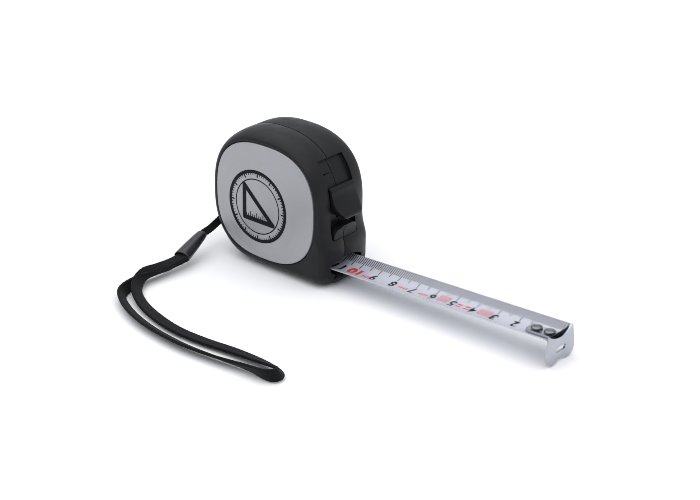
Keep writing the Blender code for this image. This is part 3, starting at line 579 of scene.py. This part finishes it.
def case_outline(inset, front_inset):
    """The case from the side, as (x, z): up the rear, over the top, down the front, back along the base."""
    rear = REAR_X + inset
    front = FRONT_X - front_inset
    foot = FOOT_X - front_inset
    base = inset
    top = TOP_Z - inset
    corner = max(CORNER_R, inset * 0.8)
    points = []
    for i in range(18):
        u, v = superellipse(math.pi * 1.5 - math.pi * 0.5 * i / 18, LOWER_POWER)
        points.append((BASE_REAR_X + u * (BASE_REAR_X - rear), WAIST_Z + v * (WAIST_Z - base)))
    middle = (rear + front) / 2
    for i in range(46):
        u, v = superellipse(math.pi - math.pi * i / 46, UPPER_POWER)
        points.append((middle + u * (front - rear) / 2, WAIST_Z + v * (top - WAIST_Z)))
    points += [(front, WAIST_Z), (front + (foot - front) * 0.12, FOOT_TOP_Z + FOOT_RAMP * 0.82)]
    points += [(front + (foot - front) * 0.45, FOOT_TOP_Z + FOOT_RAMP * 0.42)]
    points += [(foot - 0.15 * MM, FOOT_TOP_Z), (foot, FOOT_TOP_Z - 3.0 * MM), (foot, base + corner * 1.6)]
    for i in range(5):
        angle = math.pi * 0.5 * i / 4
        points.append((foot - corner + corner * math.cos(angle), base + corner - corner * math.sin(angle)))
    for i in range(1, 6):
        points.append((foot - corner + (BASE_REAR_X - foot + corner) * i / 6, base))
    return [tuple(p) for p in curve_through(points, 3, closed=True)]


def panel_reach(angle, scale=1.0, grow=0.0):
    """From the panel's centre to its outline."""
    across = abs(math.cos(angle) / (PANEL_A * scale + grow))
    up = abs(math.sin(angle) / (PANEL_B * scale + grow))
    return (across ** PANEL_POWER + up ** PANEL_POWER) ** (-1 / PANEL_POWER)


def panel_point(x, z, grow):
    """Where the ray from the panel's centre through (x, z) meets the panel's outline, grown a little."""
    angle = math.atan2(z - PANEL_Z, x - PANEL_X)
    reach = panel_reach(angle, grow=grow)
    return (PANEL_X + reach * math.cos(angle), PANEL_Z + reach * math.sin(angle))


def outer_of(one, two):
    """Whichever point is farther from the panel's centre."""
    return max(one, two, key=lambda point: math.hypot(point[0] - PANEL_X, point[1] - PANEL_Z))


def shell_body(side, seam):
    """Half of the case: out of its panel pocket, round the shoulder, over the seam and in along the wall."""
    rings = []

    def ring(points, y):
        rings.append([(x, side * y, z) for x, z in points])

    full = case_outline(0, 0)
    shoulder = case_outline(SHOULDER_INSET, FRONT_INSET)
    rim = [outer_of(point, panel_point(*point, RIM_WIDTH)) for point in shoulder]
    pocket = [panel_point(*point, GAP) for point in rim]
    middle = EDGE_ROUND * EDGE_MIDDLE
    ring(pocket, POCKET_Y)
    ring(pocket, SIDE_Y - EDGE_ROUND)
    ring([panel_point(*point, GAP + middle) for point in rim], SIDE_Y - middle)
    ring([panel_point(*point, GAP + EDGE_ROUND) for point in rim], SIDE_Y)
    ring(rim, SIDE_Y)
    steps = 14
    for i in range(1, steps + 1):
        angle = math.pi * 0.5 * (steps - i) / steps
        share = 1 - math.cos(angle)
        points = [(p[0] + (q[0] - p[0]) * share, p[1] + (q[1] - p[1]) * share) for p, q in zip(full, rim)]
        ring(points, SHOULDER_Y + (SIDE_Y - SHOULDER_Y) * math.sin(angle))
    ring(full, seam + EDGE_ROUND)
    ring(case_outline(middle, middle), seam + middle)
    ring(case_outline(EDGE_ROUND, EDGE_ROUND), seam)
    inner = case_outline(WALL, FRONT_WALL)
    ring(inner, seam)
    ring(inner, SHOULDER_Y - WALL)
    for share, y in ((0.3, INNER_SIDE_Y - 1.0 * MM), (0.6, INNER_SIDE_Y)):
        ring(case_outline(WALL + SHOULDER_INSET * share, FRONT_WALL + FRONT_INSET * share), y)
    return loft(rings)


def saddle_work(side, seam):
    """The arched stop below the thumb piece, as its front view and its profile."""
    corner = 5.0 * MM
    lower = TRACK_END_Z - 2.0 * MM
    front_view = [(side * seam, lower), (side * SADDLE_HALF_WIDTH, lower)]
    for i in range(17):
        angle = math.pi * 0.5 * i / 16
        y = SADDLE_HALF_WIDTH - corner + corner * math.cos(angle)
        front_view.append((side * y, SADDLE_TOP_Z - corner + corner * math.sin(angle)))
    front_view.append((side * seam, SADDLE_TOP_Z))
    back = FRONT_X - 1.5 * MM
    lip = FOOT_X + 0.4 * MM
    hollow = curve_through([(FOOT_X - 0.9 * MM, TRACK_END_Z - 1.0 * MM),
                            (FOOT_X - 1.0 * MM, TRACK_END_Z + 0.6 * MM),
                            (FOOT_X - 0.5 * MM, SADDLE_TOP_Z - 2.0 * MM), (lip, SADDLE_TOP_Z - 0.5 * MM)], 6)
    profile = [(back, TRACK_END_Z - 1.0 * MM)] + [tuple(p) for p in hollow]
    profile += [(lip, SADDLE_TOP_Z + 1.0 * MM), (back, SADDLE_TOP_Z + 1.0 * MM)]
    return (prism(front_view, FRONT_X - 2.0 * MM, FOOT_X + 1.5 * MM, axis="x"),
            prism(profile, -9.0 * MM, 9.0 * MM))


def mouth_outline():
    """The blade's mouth from the front, as (y, z): its lower edge rises to the corners, its top is arched."""
    steps = 32
    points = []
    for i in range(steps + 1):
        y = MOUTH_HALF_WIDTH * (2 * i / steps - 1)
        rise = max(0.0, (abs(y) - MOUTH_FLAT_Y) / (MOUTH_HALF_WIDTH - MOUTH_FLAT_Y))
        points.append((y, MOUTH_LOW_Z + MOUTH_CORNER_RISE * rise ** 1.5))
    for i in range(steps + 1):
        across = 1 - 2 * i / steps
        arch = (MOUTH_TOP_Z - MOUTH_SIDE_Z) * (1 - across * across)
        points.append((MOUTH_HALF_WIDTH * across, MOUTH_SIDE_Z + arch))
    return points


def neck_slot():
    """The slot in the track's floor that the lock's neck runs in."""
    margin = math.radians(1.2)
    low = LOCK_NECK[0] - margin
    high = LOCK_NECK[1] + LOCK_TRAVEL + margin
    half = LOCK_ARM_HALF_WIDTH + 0.4 * MM
    return prism(arc(24.0 * MM, low, high, 12) + arc(TRACK_R + 1.5 * MM, high, low, 12), -half, half)


def shell(name, side, seam, node):
    """A half of the case, with the mouth, the lash's notch, the lock's track and the saddle below it."""
    item = new_object(name, shell_body(side, seam))
    front_view, profile = saddle_work(side, seam)
    saddle = new_object("saddle", front_view)
    boolean(saddle, "INTERSECT", profile)
    settle(saddle)
    mouth = prism(mouth_outline(), FOOT_X - 8.4 * MM, FOOT_X + 1.0 * MM, axis="x")
    track_end = math.asin((TRACK_END_Z - AXIS_Z) / TRACK_R)
    track = arc(TRACK_R, TRACK_TOP, track_end, 48) + arc(TRACK_R + 9.0 * MM, track_end, TRACK_TOP, 16)
    notch_half = 3.0 * MM
    notch = block((REAR_X - 1.0 * MM, -notch_half, PIN_Z - notch_half),
                  (PIN_X + 5.0 * MM, notch_half, PIN_Z + notch_half))
    boolean(item, "DIFFERENCE", gather(mouth, notch, prism(track, -TRACK_HALF_WIDTH, TRACK_HALF_WIDTH)))
    boolean(item, "UNION", saddle.data)
    bpy.data.objects.remove(saddle)
    bumper = block((FOOT_X - 6.6 * MM, -8.0 * MM, 1.2 * MM), (FOOT_X + 1.0 * MM, 8.0 * MM, 4.6 * MM))
    pin = disc((PIN_X, PIN_Z), PIN_R + GAP, -5.4 * MM, 5.4 * MM)
    boolean(item, "DIFFERENCE", gather(neck_slot(), bumper, pin))
    settle(item)
    return dress(item, BLACK, "case", "shell", node)


shell("case_right", -1, -SEAM_Y + GAP / 2, "right_shell")
shell("case_left", 1, SEAM_Y + GAP / 2, "left_shell")


# Side panels and emblem

def panel_height(x, z, domed=True):
    """How far the panel's face stands from y = 0 at (x, z): domed, with a shallow step round the emblem."""
    if not domed:
        return PANEL_EDGE_Y
    u = x - PANEL_X
    v = z - PANEL_Z
    share = min(1.0, math.hypot(u, v) / panel_reach(math.atan2(v, u)))
    face = PANEL_EDGE_Y + PANEL_DOME * (1 - share * share)
    if share >= 0.97:
        return face
    away = math.hypot(x - EMBLEM_X, z - EMBLEM_Z)
    step = min(1.0, max(0.0, (away - STEP_R) / STEP_WIDTH))
    return face + STEP_DEPTH * (step * step * (3 - 2 * step) - 1)


def side_panel(name, side, domed, node):
    """A panel with a rounded edge. The plain one, on the far side, has a hole for the clip's screw."""
    count = 240
    rings = []
    steps = [(1.0, POCKET_Y + GAP), (1.0, PANEL_EDGE_Y - 0.42 * MM), (0.997, PANEL_EDGE_Y - 0.2 * MM),
             (0.990, PANEL_EDGE_Y - 0.06 * MM)]
    steps += [(0.980 - 0.96 * i / 50, None) for i in range(51)]
    for scale, y in steps:
        ring = []
        for i in range(count):
            angle = math.tau * i / count
            reach = panel_reach(angle, scale)
            x = PANEL_X + reach * math.cos(angle)
            z = PANEL_Z + reach * math.sin(angle)
            ring.append((x, side * (panel_height(x, z, domed) if y is None else y), z))
        rings.append(ring)
    item = new_object(name, loft(rings))
    if not domed:
        hole = disc(CLIP_SCREW, SCREW_HOLE_R, POCKET_Y - 1.0 * MM, PANEL_EDGE_Y + 2.0 * MM)
        boolean(item, "DIFFERENCE", hole)
        settle(item)
    return dress(item, SILVER, "case", "panel", node)


def inked(outlines, name):
    """Thin printed shapes on the near panel, each a convex ring of (x, z) about the emblem's centre."""
    work = bmesh.new()
    for outline in outlines:
        top = []
        base = []
        for u, v in outline:
            x = EMBLEM_X + u
            z = EMBLEM_Z + v
            y = panel_height(x, z)
            top.append(work.verts.new((x, -y - INK, z)))
            base.append(work.verts.new((x, -y + INK, z)))
        work.faces.new(top)
        work.faces.new(list(reversed(base)))
        for i in range(len(top)):
            j = (i + 1) % len(top)
            work.faces.new((top[j], top[i], base[i], base[j]))
    item = new_object(name, work)
    return dress(item, BLACK_INK, "case", "panel")


def ring_cells(inner, outer, count):
    """A ring as a fan of small four-sided cells."""
    cells = []
    for i in range(count):
        a = math.tau * i / count
        b = math.tau * (i + 1) / count
        cells.append([(inner * math.cos(a), inner * math.sin(a)), (outer * math.cos(a), outer * math.sin(a)),
                      (outer * math.cos(b), outer * math.sin(b)), (inner * math.cos(b), inner * math.sin(b))])
    return cells


def strip_cells(start, end, width, count):
    """A straight stroke as a row of small cells."""
    a = Vector(start)
    b = Vector(end)
    across = Vector((-(b - a).y, (b - a).x)).normalized() * (width / 2)
    cells = []
    for i in range(count):
        p = a.lerp(b, i / count)
        q = a.lerp(b, (i + 1) / count)
        cells.append([tuple(p - across), tuple(q - across), tuple(q + across), tuple(p + across)])
    return cells


def emblem():
    """A graduated ring with a set square inside it."""
    stroke = 2.1 * MM
    cells = ring_cells(EMBLEM_OUTER - 1.5 * MM, EMBLEM_OUTER, 180)
    cells += ring_cells(EMBLEM_INNER - 1.0 * MM, EMBLEM_INNER - 0.5 * MM, 150)
    for i in range(72):
        angle = math.tau * i / 72
        inner = EMBLEM_OUTER - (3.0 if i % 6 == 0 else 2.2) * MM
        direction = Vector((math.cos(angle), math.sin(angle)))
        width = (0.65 if i % 6 == 0 else 0.38) * MM
        cells += strip_cells(direction * inner, direction * (EMBLEM_OUTER - 1.0 * MM), width, 2)
    corner = Vector((-7.2, -6.2)) * MM
    right = Vector((8.6, -6.2)) * MM
    top = Vector((-7.2, 8.2)) * MM
    for a, b in ((corner, right), (right, top), (top, corner)):
        cells += strip_cells(a, b, stroke, 24)
    cells += [circle(stroke / 2, 16, point) for point in (corner, right, top)]
    for i in range(1, 13):
        x = corner.x + 1.15 * MM * i
        cells += strip_cells((x, corner.y), (x, corner.y + (3.1 if i % 3 == 0 else 2.1) * MM), 0.42 * MM, 3)
    inked(cells, "emblem_print")


side_panel("side_plate_right", -1, True, "right_panel")
side_panel("side_plate_left", 1, False, "left_panel")
emblem()


# Blade, its print and the hook

to_blade = Matrix.Translation((SCALE_X, 0, BLADE_Z)) @ Matrix.Rotation(-BLADE_RISE, 4, "Y")


def on_blade(x, s, lift=0.0):
    """A point of the blade's own frame: x along it, s round its curve from the middle, lift off its face."""
    angle = s / BLADE_R
    return (x, (BLADE_R - lift) * math.sin(angle), BLADE_R - (BLADE_R - lift) * math.cos(angle))


def drawn_piece(item, material, *nodes):
    """A piece that slides with the blade."""
    item.data.transform(to_blade)
    dress(item, material, "blade", "blade", *nodes)
    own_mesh(item)
    return item


def blade():
    """The drawn length of the blade, curved across its width."""
    steps = 48
    section = []
    for offset, direction in ((-BLADE_THICKNESS, 1), (0.0, -1)):
        for i in range(steps + 1):
            section.append((direction * BLADE_HALF_WIDTH * (2 * i / steps - 1), offset))
    rings = []
    for i in range(41):
        x = -BLADE_INSIDE + (DRAWN + BLADE_INSIDE) * i / 40
        rings.append([on_blade(x, s, lift) for s, lift in section])
    item = new_object("blade_strip", loft(rings))
    return drawn_piece(item, BLADE, "tape_blade")


def patch(work, x_low, x_high, s_low, s_high):
    """A small printed rectangle on the blade."""
    steps = max(1, math.ceil((s_high - s_low) / (0.6 * MM)))
    rows = []
    for i in range(steps + 1):
        s = s_low + (s_high - s_low) * i / steps
        rows.append([work.verts.new(on_blade(x, s, INK)) for x in (x_low, x_high)])
    for one, two in zip(rows, rows[1:]):
        work.faces.new((one[0], one[1], two[1], two[0]))


def ticks():
    """A line for each millimetre from the hook, with longer ones at fives and tens."""
    work = bmesh.new()
    last = math.floor((DRAWN + BLADE_INSIDE - 1.0 * MM) / MM)
    for i in range(1, last + 1):
        x = DRAWN - i * MM
        inner = CENTIMETRE_TICK_S if i % 10 == 0 else HALF_TICK_S if i % 5 == 0 else MILLIMETRE_TICK_S
        patch(work, x - TICK_WIDTH / 2, x + TICK_WIDTH / 2, inner, BLADE_HALF_WIDTH - TICK_MARGIN)
    return drawn_piece(new_object("scale_ticks", work), BLACK_INK)


def glyph(work, text, x, size, weight):
    """A number printed across the blade: its top towards the near edge, and read towards the case."""
    width, height = size
    curve = bpy.data.curves.new("glyph", "FONT")
    curve.body = text
    curve.offset = weight
    item = bpy.data.objects.new("glyph", curve)
    bpy.context.scene.collection.objects.link(item)
    graph = bpy.context.evaluated_depsgraph_get()
    mesh = bpy.data.meshes.new_from_object(item.evaluated_get(graph))
    bpy.data.objects.remove(item)
    bpy.data.curves.remove(curve)
    flat = bmesh.new()
    flat.from_mesh(mesh)
    bpy.data.meshes.remove(mesh)
    low = [min(v.co[k] for v in flat.verts) for k in (0, 1)]
    high = [max(v.co[k] for v in flat.verts) for k in (0, 1)]
    strips = 12
    for i in range(1, strips):
        cut = low[1] + (high[1] - low[1]) * i / strips
        every = flat.verts[:] + flat.edges[:] + flat.faces[:]
        bmesh.ops.bisect_plane(flat, geom=every, plane_co=(0, cut, 0), plane_no=(0, 1, 0))
    for v in flat.verts:
        across = ((v.co.x - low[0]) / (high[0] - low[0]) - 0.5) * width
        up = ((v.co.y - low[1]) / (high[1] - low[1]) - 0.5) * height
        v.co = on_blade(x - across, NUMBER_S - up, INK)
    made = bpy.data.meshes.new("glyph")
    flat.to_mesh(made)
    flat.free()
    work.from_mesh(made)
    bpy.data.meshes.remove(made)


def numbers():
    """Centimetre numbers. The last one is by the mouth, and the ten is red and bold."""
    work = bmesh.new()
    for number in range(2, 10):
        glyph(work, str(number), DRAWN - number * 10 * MM, NUMBER_SIZE, NUMBER_WEIGHT)
    glyph(work, "11", -0.9 * MM, ELEVEN_SIZE, NUMBER_WEIGHT)
    drawn_piece(new_object("scale_numbers", work), BLACK_INK)
    red = bmesh.new()
    glyph(red, "10", DRAWN - 100 * MM, TEN_SIZE, TEN_WEIGHT)
    drawn_piece(new_object("scale_number_red", red), RED_INK)


def bars(work, x, count, pitch, width, s_low, s_high):
    """A row of equal printed bars from x on. All sizes are in millimetres."""
    for i in range(count):
        start = x + i * pitch
        patch(work, start * MM, (start + width) * MM, s_low * MM, s_high * MM)


def box(work, x_low, x_high, s_low, s_high, line):
    """A printed frame, given by its left, right, lower and upper lines. All sizes are in millimetres."""
    bars(work, x_low, 2, x_high - x_low, line, s_low, s_high + line)
    for s in (s_low, s_high):
        patch(work, (x_low + line) * MM, x_high * MM, s * MM, (s + line) * MM)


def marks():
    """Small red marks between the numbers: rows of bars and framed boxes, with no lettering."""
    work = bmesh.new()
    bars(work, 12.6, 4, 1.1, 0.6, -3.0, -0.4)
    for x in (31.0, 41.2):
        bars(work, x, 4, 1.2, 0.55, -1.7, 0.1)
    box(work, 50.2, 54.6, -1.4, 2.6, 0.4)
    bars(work, 51.4, 3, 1.1, 0.5, -0.6, 2.0)
    for s_low, s_high in ((-1.5, -0.6), (0.4, 1.3)):
        bars(work, 59.6, 2, 3.8, 2.4, s_low, s_high)
    box(work, 70.0, 75.2, -1.6, 2.35, 0.35)
    bars(work, 71.0, 4, 1.05, 0.45, -0.8, 1.9)
    drawn_piece(new_object("scale_marks", work), RED_INK)


def hook_outline(lift):
    """The hook's plate from the front, as (y, z): its top follows the blade, its foot has a notch."""
    crown = []
    for i in range(41):
        angle = HOOK_HALF_WIDTH / BLADE_R * (1 - 2 * i / 40)
        crown.append(((BLADE_R - lift) * math.sin(angle), BLADE_R - (BLADE_R - lift) * math.cos(angle)))
    half = [(-HOOK_HALF_WIDTH / MM, 0.40), (-9.2, 0.62), (-8.6, 0.82), (-7.2, 0.95), (-5.4, 1.0),
            (-3.4, 0.98), (-2.1, 0.90), (-1.0, 0.80), (0.0, 0.78)]
    foot = [tuple(p) for p in curve_through([(y * MM, -HOOK_DROP * drop) for y, drop in half], 5)]
    return crown + foot + [(-y, z) for y, z in reversed(foot[:-1])]


def tongue(lift):
    """The hook's tongue on the blade: a round nose, then flared into the plate."""
    nose = 3.2 * MM
    flare = 3.6 * MM
    flare_start = DRAWN + GAP - 2.6 * MM
    reaches = []
    for i in range(13):
        turn = math.pi * 0.5 * i / 12
        x = DRAWN - HOOK_TONGUE + nose * (1 - math.cos(turn)) * 0.8
        reaches.append((x, max(0.4 * MM, TONGUE_HALF_WIDTH - nose + nose * math.sin(turn))))
    for i in range(9):
        share = i / 8
        reaches.append((flare_start + 2.4 * MM * share, TONGUE_HALF_WIDTH + flare * share ** 3))
    reaches.append((DRAWN + GAP + HOOK_PLATE * 0.6, TONGUE_HALF_WIDTH + flare))
    section = []
    for low, direction in ((GAP, 1), (lift, -1)):
        for i in range(25):
            section.append((direction * (2 * i / 24 - 1), low))
    return loft([[on_blade(x, reach * s, low) for s, low in section] for x, reach in reaches])


def rivet_hole(back):
    """A hole in the tongue, stretched by the hook's float."""
    ring = [(DRAWN - back + x - (HOOK_FLOAT if x < 0 else 0), y) for x, y in circle(RIVET_R + GAP)]
    return loft([[(x, y, z) for x, y in ring] for z in (-2.0 * MM, 4.0 * MM)])


def nail_slot():
    """The slot with round ends through the hook's plate."""
    radius = (NAIL_SLOT_HIGH - NAIL_SLOT_LOW) / 2
    straight = NAIL_SLOT_HALF_WIDTH - radius
    slot = [(math.copysign(straight, y) + y, NAIL_SLOT_LOW + radius + z) for y, z in circle(radius, 32)]
    return prism(slot, DRAWN + GAP - 1.0 * MM, DRAWN + GAP + 2.0 * MM, axis="x")


def hook():
    """Curved tongue on the blade and an upright plate at its end, with a nail slot and a notched foot."""
    lift = GAP + TONGUE_THICKNESS
    start = DRAWN + GAP
    item = new_object("end_hook_plate", prism(hook_outline(lift), start, start + HOOK_PLATE, axis="x"))
    boolean(item, "UNION", tongue(lift))
    boolean(item, "DIFFERENCE", gather(*[rivet_hole(back) for back in RIVET_BACK], nail_slot()))
    bevel(item, 0.28 * MM, 3, 50)
    settle(item)
    item.data.transform(to_blade)
    return dress(item, STEEL, "hook", "steel", "end_hook")


def rivet(name, back, node):
    """A rivet through the blade: a set tail below, a dished dome above. Its profile is in millimetres."""
    head = RIVET_HEAD_R / MM
    shank = RIVET_R / MM
    seat = GAP + TONGUE_THICKNESS + GAP + RIVET_HEAD_R ** 2 / (2 * BLADE_R)
    tail = -BLADE_THICKNESS - GAP
    base = [(0.5, -0.62), (head * 0.8, -0.58), (head * 0.95, -0.35), (head, -0.1), (head, 0.0), (shank, 0.0)]
    dome = [(shank, 0.0), (2.12, 0.0), (2.28, 0.08), (2.3, 0.22), (2.22, 0.42), (2.0, 0.62), (1.65, 0.78),
            (1.35, 0.84), (1.18, 0.80), (1.05, 0.66), (0.85, 0.58), (0.4, 0.56)]
    levels = [(radius, tail + height * MM) for radius, height in base]
    levels += [(radius, seat + height * MM) for radius, height in dome]
    rings = [[(x, y, z) for x, y in circle(radius * MM)] for radius, z in levels]
    item = new_object(name, loft(rings))
    item.data.transform(to_blade @ Matrix.Translation((DRAWN - back, 0, 0)))
    return dress(item, RIVET, "blade", "steel", node, angle=50)


blade()
ticks()
numbers()
marks()
hook()
for index, distance in enumerate(RIVET_BACK, 1):
    rivet(f"rivet_head_{index}", distance, f"hook_rivet_{index}")


# Lock button

def lock_button():
    """Thumb piece, square above and round below, on its neck and arm. Its front is (x, z) in mm."""
    sole = TRACK_R + GAP
    low = math.asin((LOCK_FOOT_Z - AXIS_Z) / sole)
    hollow = [(34.4, 29.1), (36.0, 29.6), (36.5, 30.4), (36.2, 31.6), (35.3, 32.6), (34.0, 34.1),
              (32.6, 36.3), (31.6, 38.7), (31.1, 41.0)]
    face = [tuple(Vector(p) * MM) for p in curve_through(hollow, 5)]
    outline = face + [polar(sole + 1.5 * MM, LOCK_TOP)] + arc(sole, LOCK_TOP, low, 24)
    item = new_object("thumb_lock", prism(outline, -LOCK_HALF_WIDTH, LOCK_HALF_WIDTH))
    corner = 6.8 * MM
    half = LOCK_HALF_WIDTH
    front_view = [(-half - 1.0 * MM, 50.0 * MM), (-half - 1.0 * MM, LOCK_FOOT_Z + corner * 1.4)]
    for i in range(25):
        angle = math.pi * 0.5 * i / 24
        front_view.append((-half + corner - corner * math.cos(angle),
                           LOCK_FOOT_Z + corner - corner * math.sin(angle)))
    front_view += [(-y, z) for y, z in reversed(front_view)]
    boolean(item, "INTERSECT", prism(front_view, 25.0 * MM, 45.0 * MM, axis="x"))
    bevel(item, 0.55 * MM, 4, 35)
    settle(item)
    neck = arc(24.7 * MM, *LOCK_NECK, 4) + arc(sole + 0.6 * MM, *reversed(LOCK_NECK), 4)
    boolean(item, "UNION", prism(neck, -LOCK_ARM_HALF_WIDTH, LOCK_ARM_HALF_WIDTH))
    arm_ends = (math.radians(-52.0), math.radians(4.0))
    arm = arc(23.7 * MM, *arm_ends, 30) + arc(25.7 * MM, *reversed(arm_ends), 30)
    boolean(item, "UNION", prism(arm, -LOCK_ARM_HALF_WIDTH * 0.98, LOCK_ARM_HALF_WIDTH * 0.98))
    settle(item)
    return dress(item, LOCK, "lock", "lock", "lock_button", angle=30)


lock_button()


# Mouth bumper, belt clip and its screw

def mouth_bumper():
    """The rubber block under the mouth."""
    back = FOOT_X - 6.3 * MM
    front = FOOT_X + 0.2 * MM
    item = new_object("bumper_block", block((back, -7.7 * MM, 1.5 * MM), (front, 7.7 * MM, 3.3 * MM)))
    bevel(item, 0.45 * MM, 4)
    settle(item)
    return dress(item, RUBBER, "case", "rubber", "mouth_bumper")


def belt_clip():
    """A bent steel strip with a rounded tongue that turns out at its end, down a spine of (y, z) in mm."""
    face = CLIP_FACE_Y / MM
    spine = [(face, 54.0), (face, 51.0), (face, 47.5), (face, 45.6), (face + 0.7, 44.4),
             (face + 2.4, 42.4), (face + 3.2, 41.3), (face + 3.15, 39.5), (face + 2.7, 31.0),
             (face + 2.3, 24.0), (face + 1.75, 19.6), (face + 1.65, 17.6), (face + 2.3, 15.2),
             (face + 3.8, 12.6)]
    path = [Vector(p) * MM for p in curve_through(spine, 5)]
    rings = []
    for i, place in enumerate(path):
        forward = (path[min(len(path) - 1, i + 1)] - path[max(0, i - 1)]).normalized()
        out = Vector((-forward.y, forward.x)) * (1 if -forward.y > 0 else -1)
        share = i / (len(path) - 1)
        near_end = max(0.0, share - 0.9) / 0.1
        near_start = max(0.0, 0.06 - share) / 0.06
        half = CLIP_HALF_WIDTH * (1 - 0.16 * max(0.0, share - 0.25))
        half -= CLIP_HALF_WIDTH * 0.5 * (1 - math.sqrt(max(0.0, 1 - near_end ** 2)))
        half -= 1.6 * MM * (1 - math.sqrt(max(0.0, 1 - near_start ** 2)))
        middle = EDGE_ROUND * EDGE_MIDDLE
        lower = [(-half, EDGE_ROUND), (-half + middle, middle), (-half + EDGE_ROUND, 0)]
        lower += [(-x, depth) for x, depth in reversed(lower)]
        corners = lower + [(x, CLIP_THICKNESS - depth) for x, depth in reversed(lower)]
        ring = []
        for x, depth in corners:
            spot = place + out * depth
            ring.append((CLIP_SCREW[0] + x, spot.x, spot.y))
        rings.append(ring)
    item = new_object("clip_strip", loft(rings))
    hole = disc(CLIP_SCREW, SCREW_HOLE_R, CLIP_FACE_Y - 1.0 * MM, CLIP_FACE_Y + 3.0 * MM)
    boolean(item, "DIFFERENCE", hole)
    settle(item)
    return dress(item, CLIP, "case", "clip", "belt_clip")


def clip_screw():
    """The clip's screw, with a cross slot. Its profile is radius and height in millimetres."""
    start = CLIP_FACE_Y + CLIP_THICKNESS + GAP
    shank = [(0.4, 11.7), (0.95, 11.75), (1.0, 11.9)]
    head = [(1.0, 0.0), (2.5, 0.0), (2.6, 0.1), (2.6, 0.55), (2.45, 0.95), (2.1, 1.2), (1.6, 1.3), (0.4, 1.3)]
    profile = [(radius, y * MM) for radius, y in shank] + [(radius, start + y * MM) for radius, y in head]
    rings = [[(x, y, z) for x, z in circle(radius * MM, center=CLIP_SCREW)] for radius, y in profile]
    item = new_object("clip_screw_head", loft(rings))
    x, z = CLIP_SCREW
    for length, width in ((1.7 * MM, 0.3 * MM), (0.3 * MM, 1.7 * MM)):
        low = (x - length, start + 0.7 * MM, z - width)
        high = (x + length, start + 2.5 * MM, z + width)
        boolean(item, "DIFFERENCE", block(low, high))
    settle(item)
    return dress(item, STEEL, "case", "steel", "clip_screw")


mouth_bumper()
belt_clip()
clip_screw()


# CAD nodes that stay

KEPT = {
    "case_screw_1": STEEL, "case_screw_2": STEEL, "case_screw_3": STEEL, "case_screw_4": STEEL,
    "spring_arbor": STEEL, "strap_pin": STEEL, "recoil_spring": SPRING, "spool_drum": DRUM,
    "spool_cover": DRUM, "tape_coil": BLADE, "tape_lead": BLADE, "brake_pad": RUBBER,
}
for node, material in KEPT.items():
    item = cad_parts[node]
    for place in item.material_slots:
        place.material = material


# Floor and light

def floor():
    """A wide sheet of white paper just under the object."""
    work = bmesh.new()
    steps = 8
    lines = [-FLOOR_HALF + 2 * FLOOR_HALF * i / steps for i in range(steps + 1)]
    grid = [[work.verts.new((x, y, FLOOR_Z)) for x in lines] for y in lines]
    for one, two in zip(grid, grid[1:]):
        for i in range(steps):
            work.faces.new((one[i], one[i + 1], two[i + 1], two[i]))
    item = new_object("studio_floor", work)
    paper = finish("floor_paper", (0.90, 0.90, 0.905), 0.9, vary=0.006, blotch=2.0, relief=0.0, specular=0.0)
    item.data.materials.append(paper)


def area_light(name, place, target, size, power):
    light = bpy.data.lights.new(name, "AREA")
    light.shape = "RECTANGLE"
    light.size = size[0]
    light.size_y = size[1]
    light.energy = power
    item = bpy.data.objects.new(name, light)
    item.location = place
    item.rotation_euler = (Vector(target) - Vector(place)).to_track_quat("-Z", "Y").to_euler()
    bpy.context.scene.collection.objects.link(item)


floor()
area_light("top_light", (0.0, -0.12, 1.0), (0.02, 0.0, 0.02), (2.2, 1.8), 12.8)
world = bpy.data.worlds.new("studio")
world.use_nodes = True
background = world.node_tree.nodes["Background"]
background.inputs["Color"].default_value = (0.93, 0.95, 1.0, 1.0)
background.inputs["Strength"].default_value = 0.80
bpy.context.scene.world = world
bpy.context.scene.view_settings.view_transform = "Standard"
bpy.context.scene.cycles.filter_width = 0.9
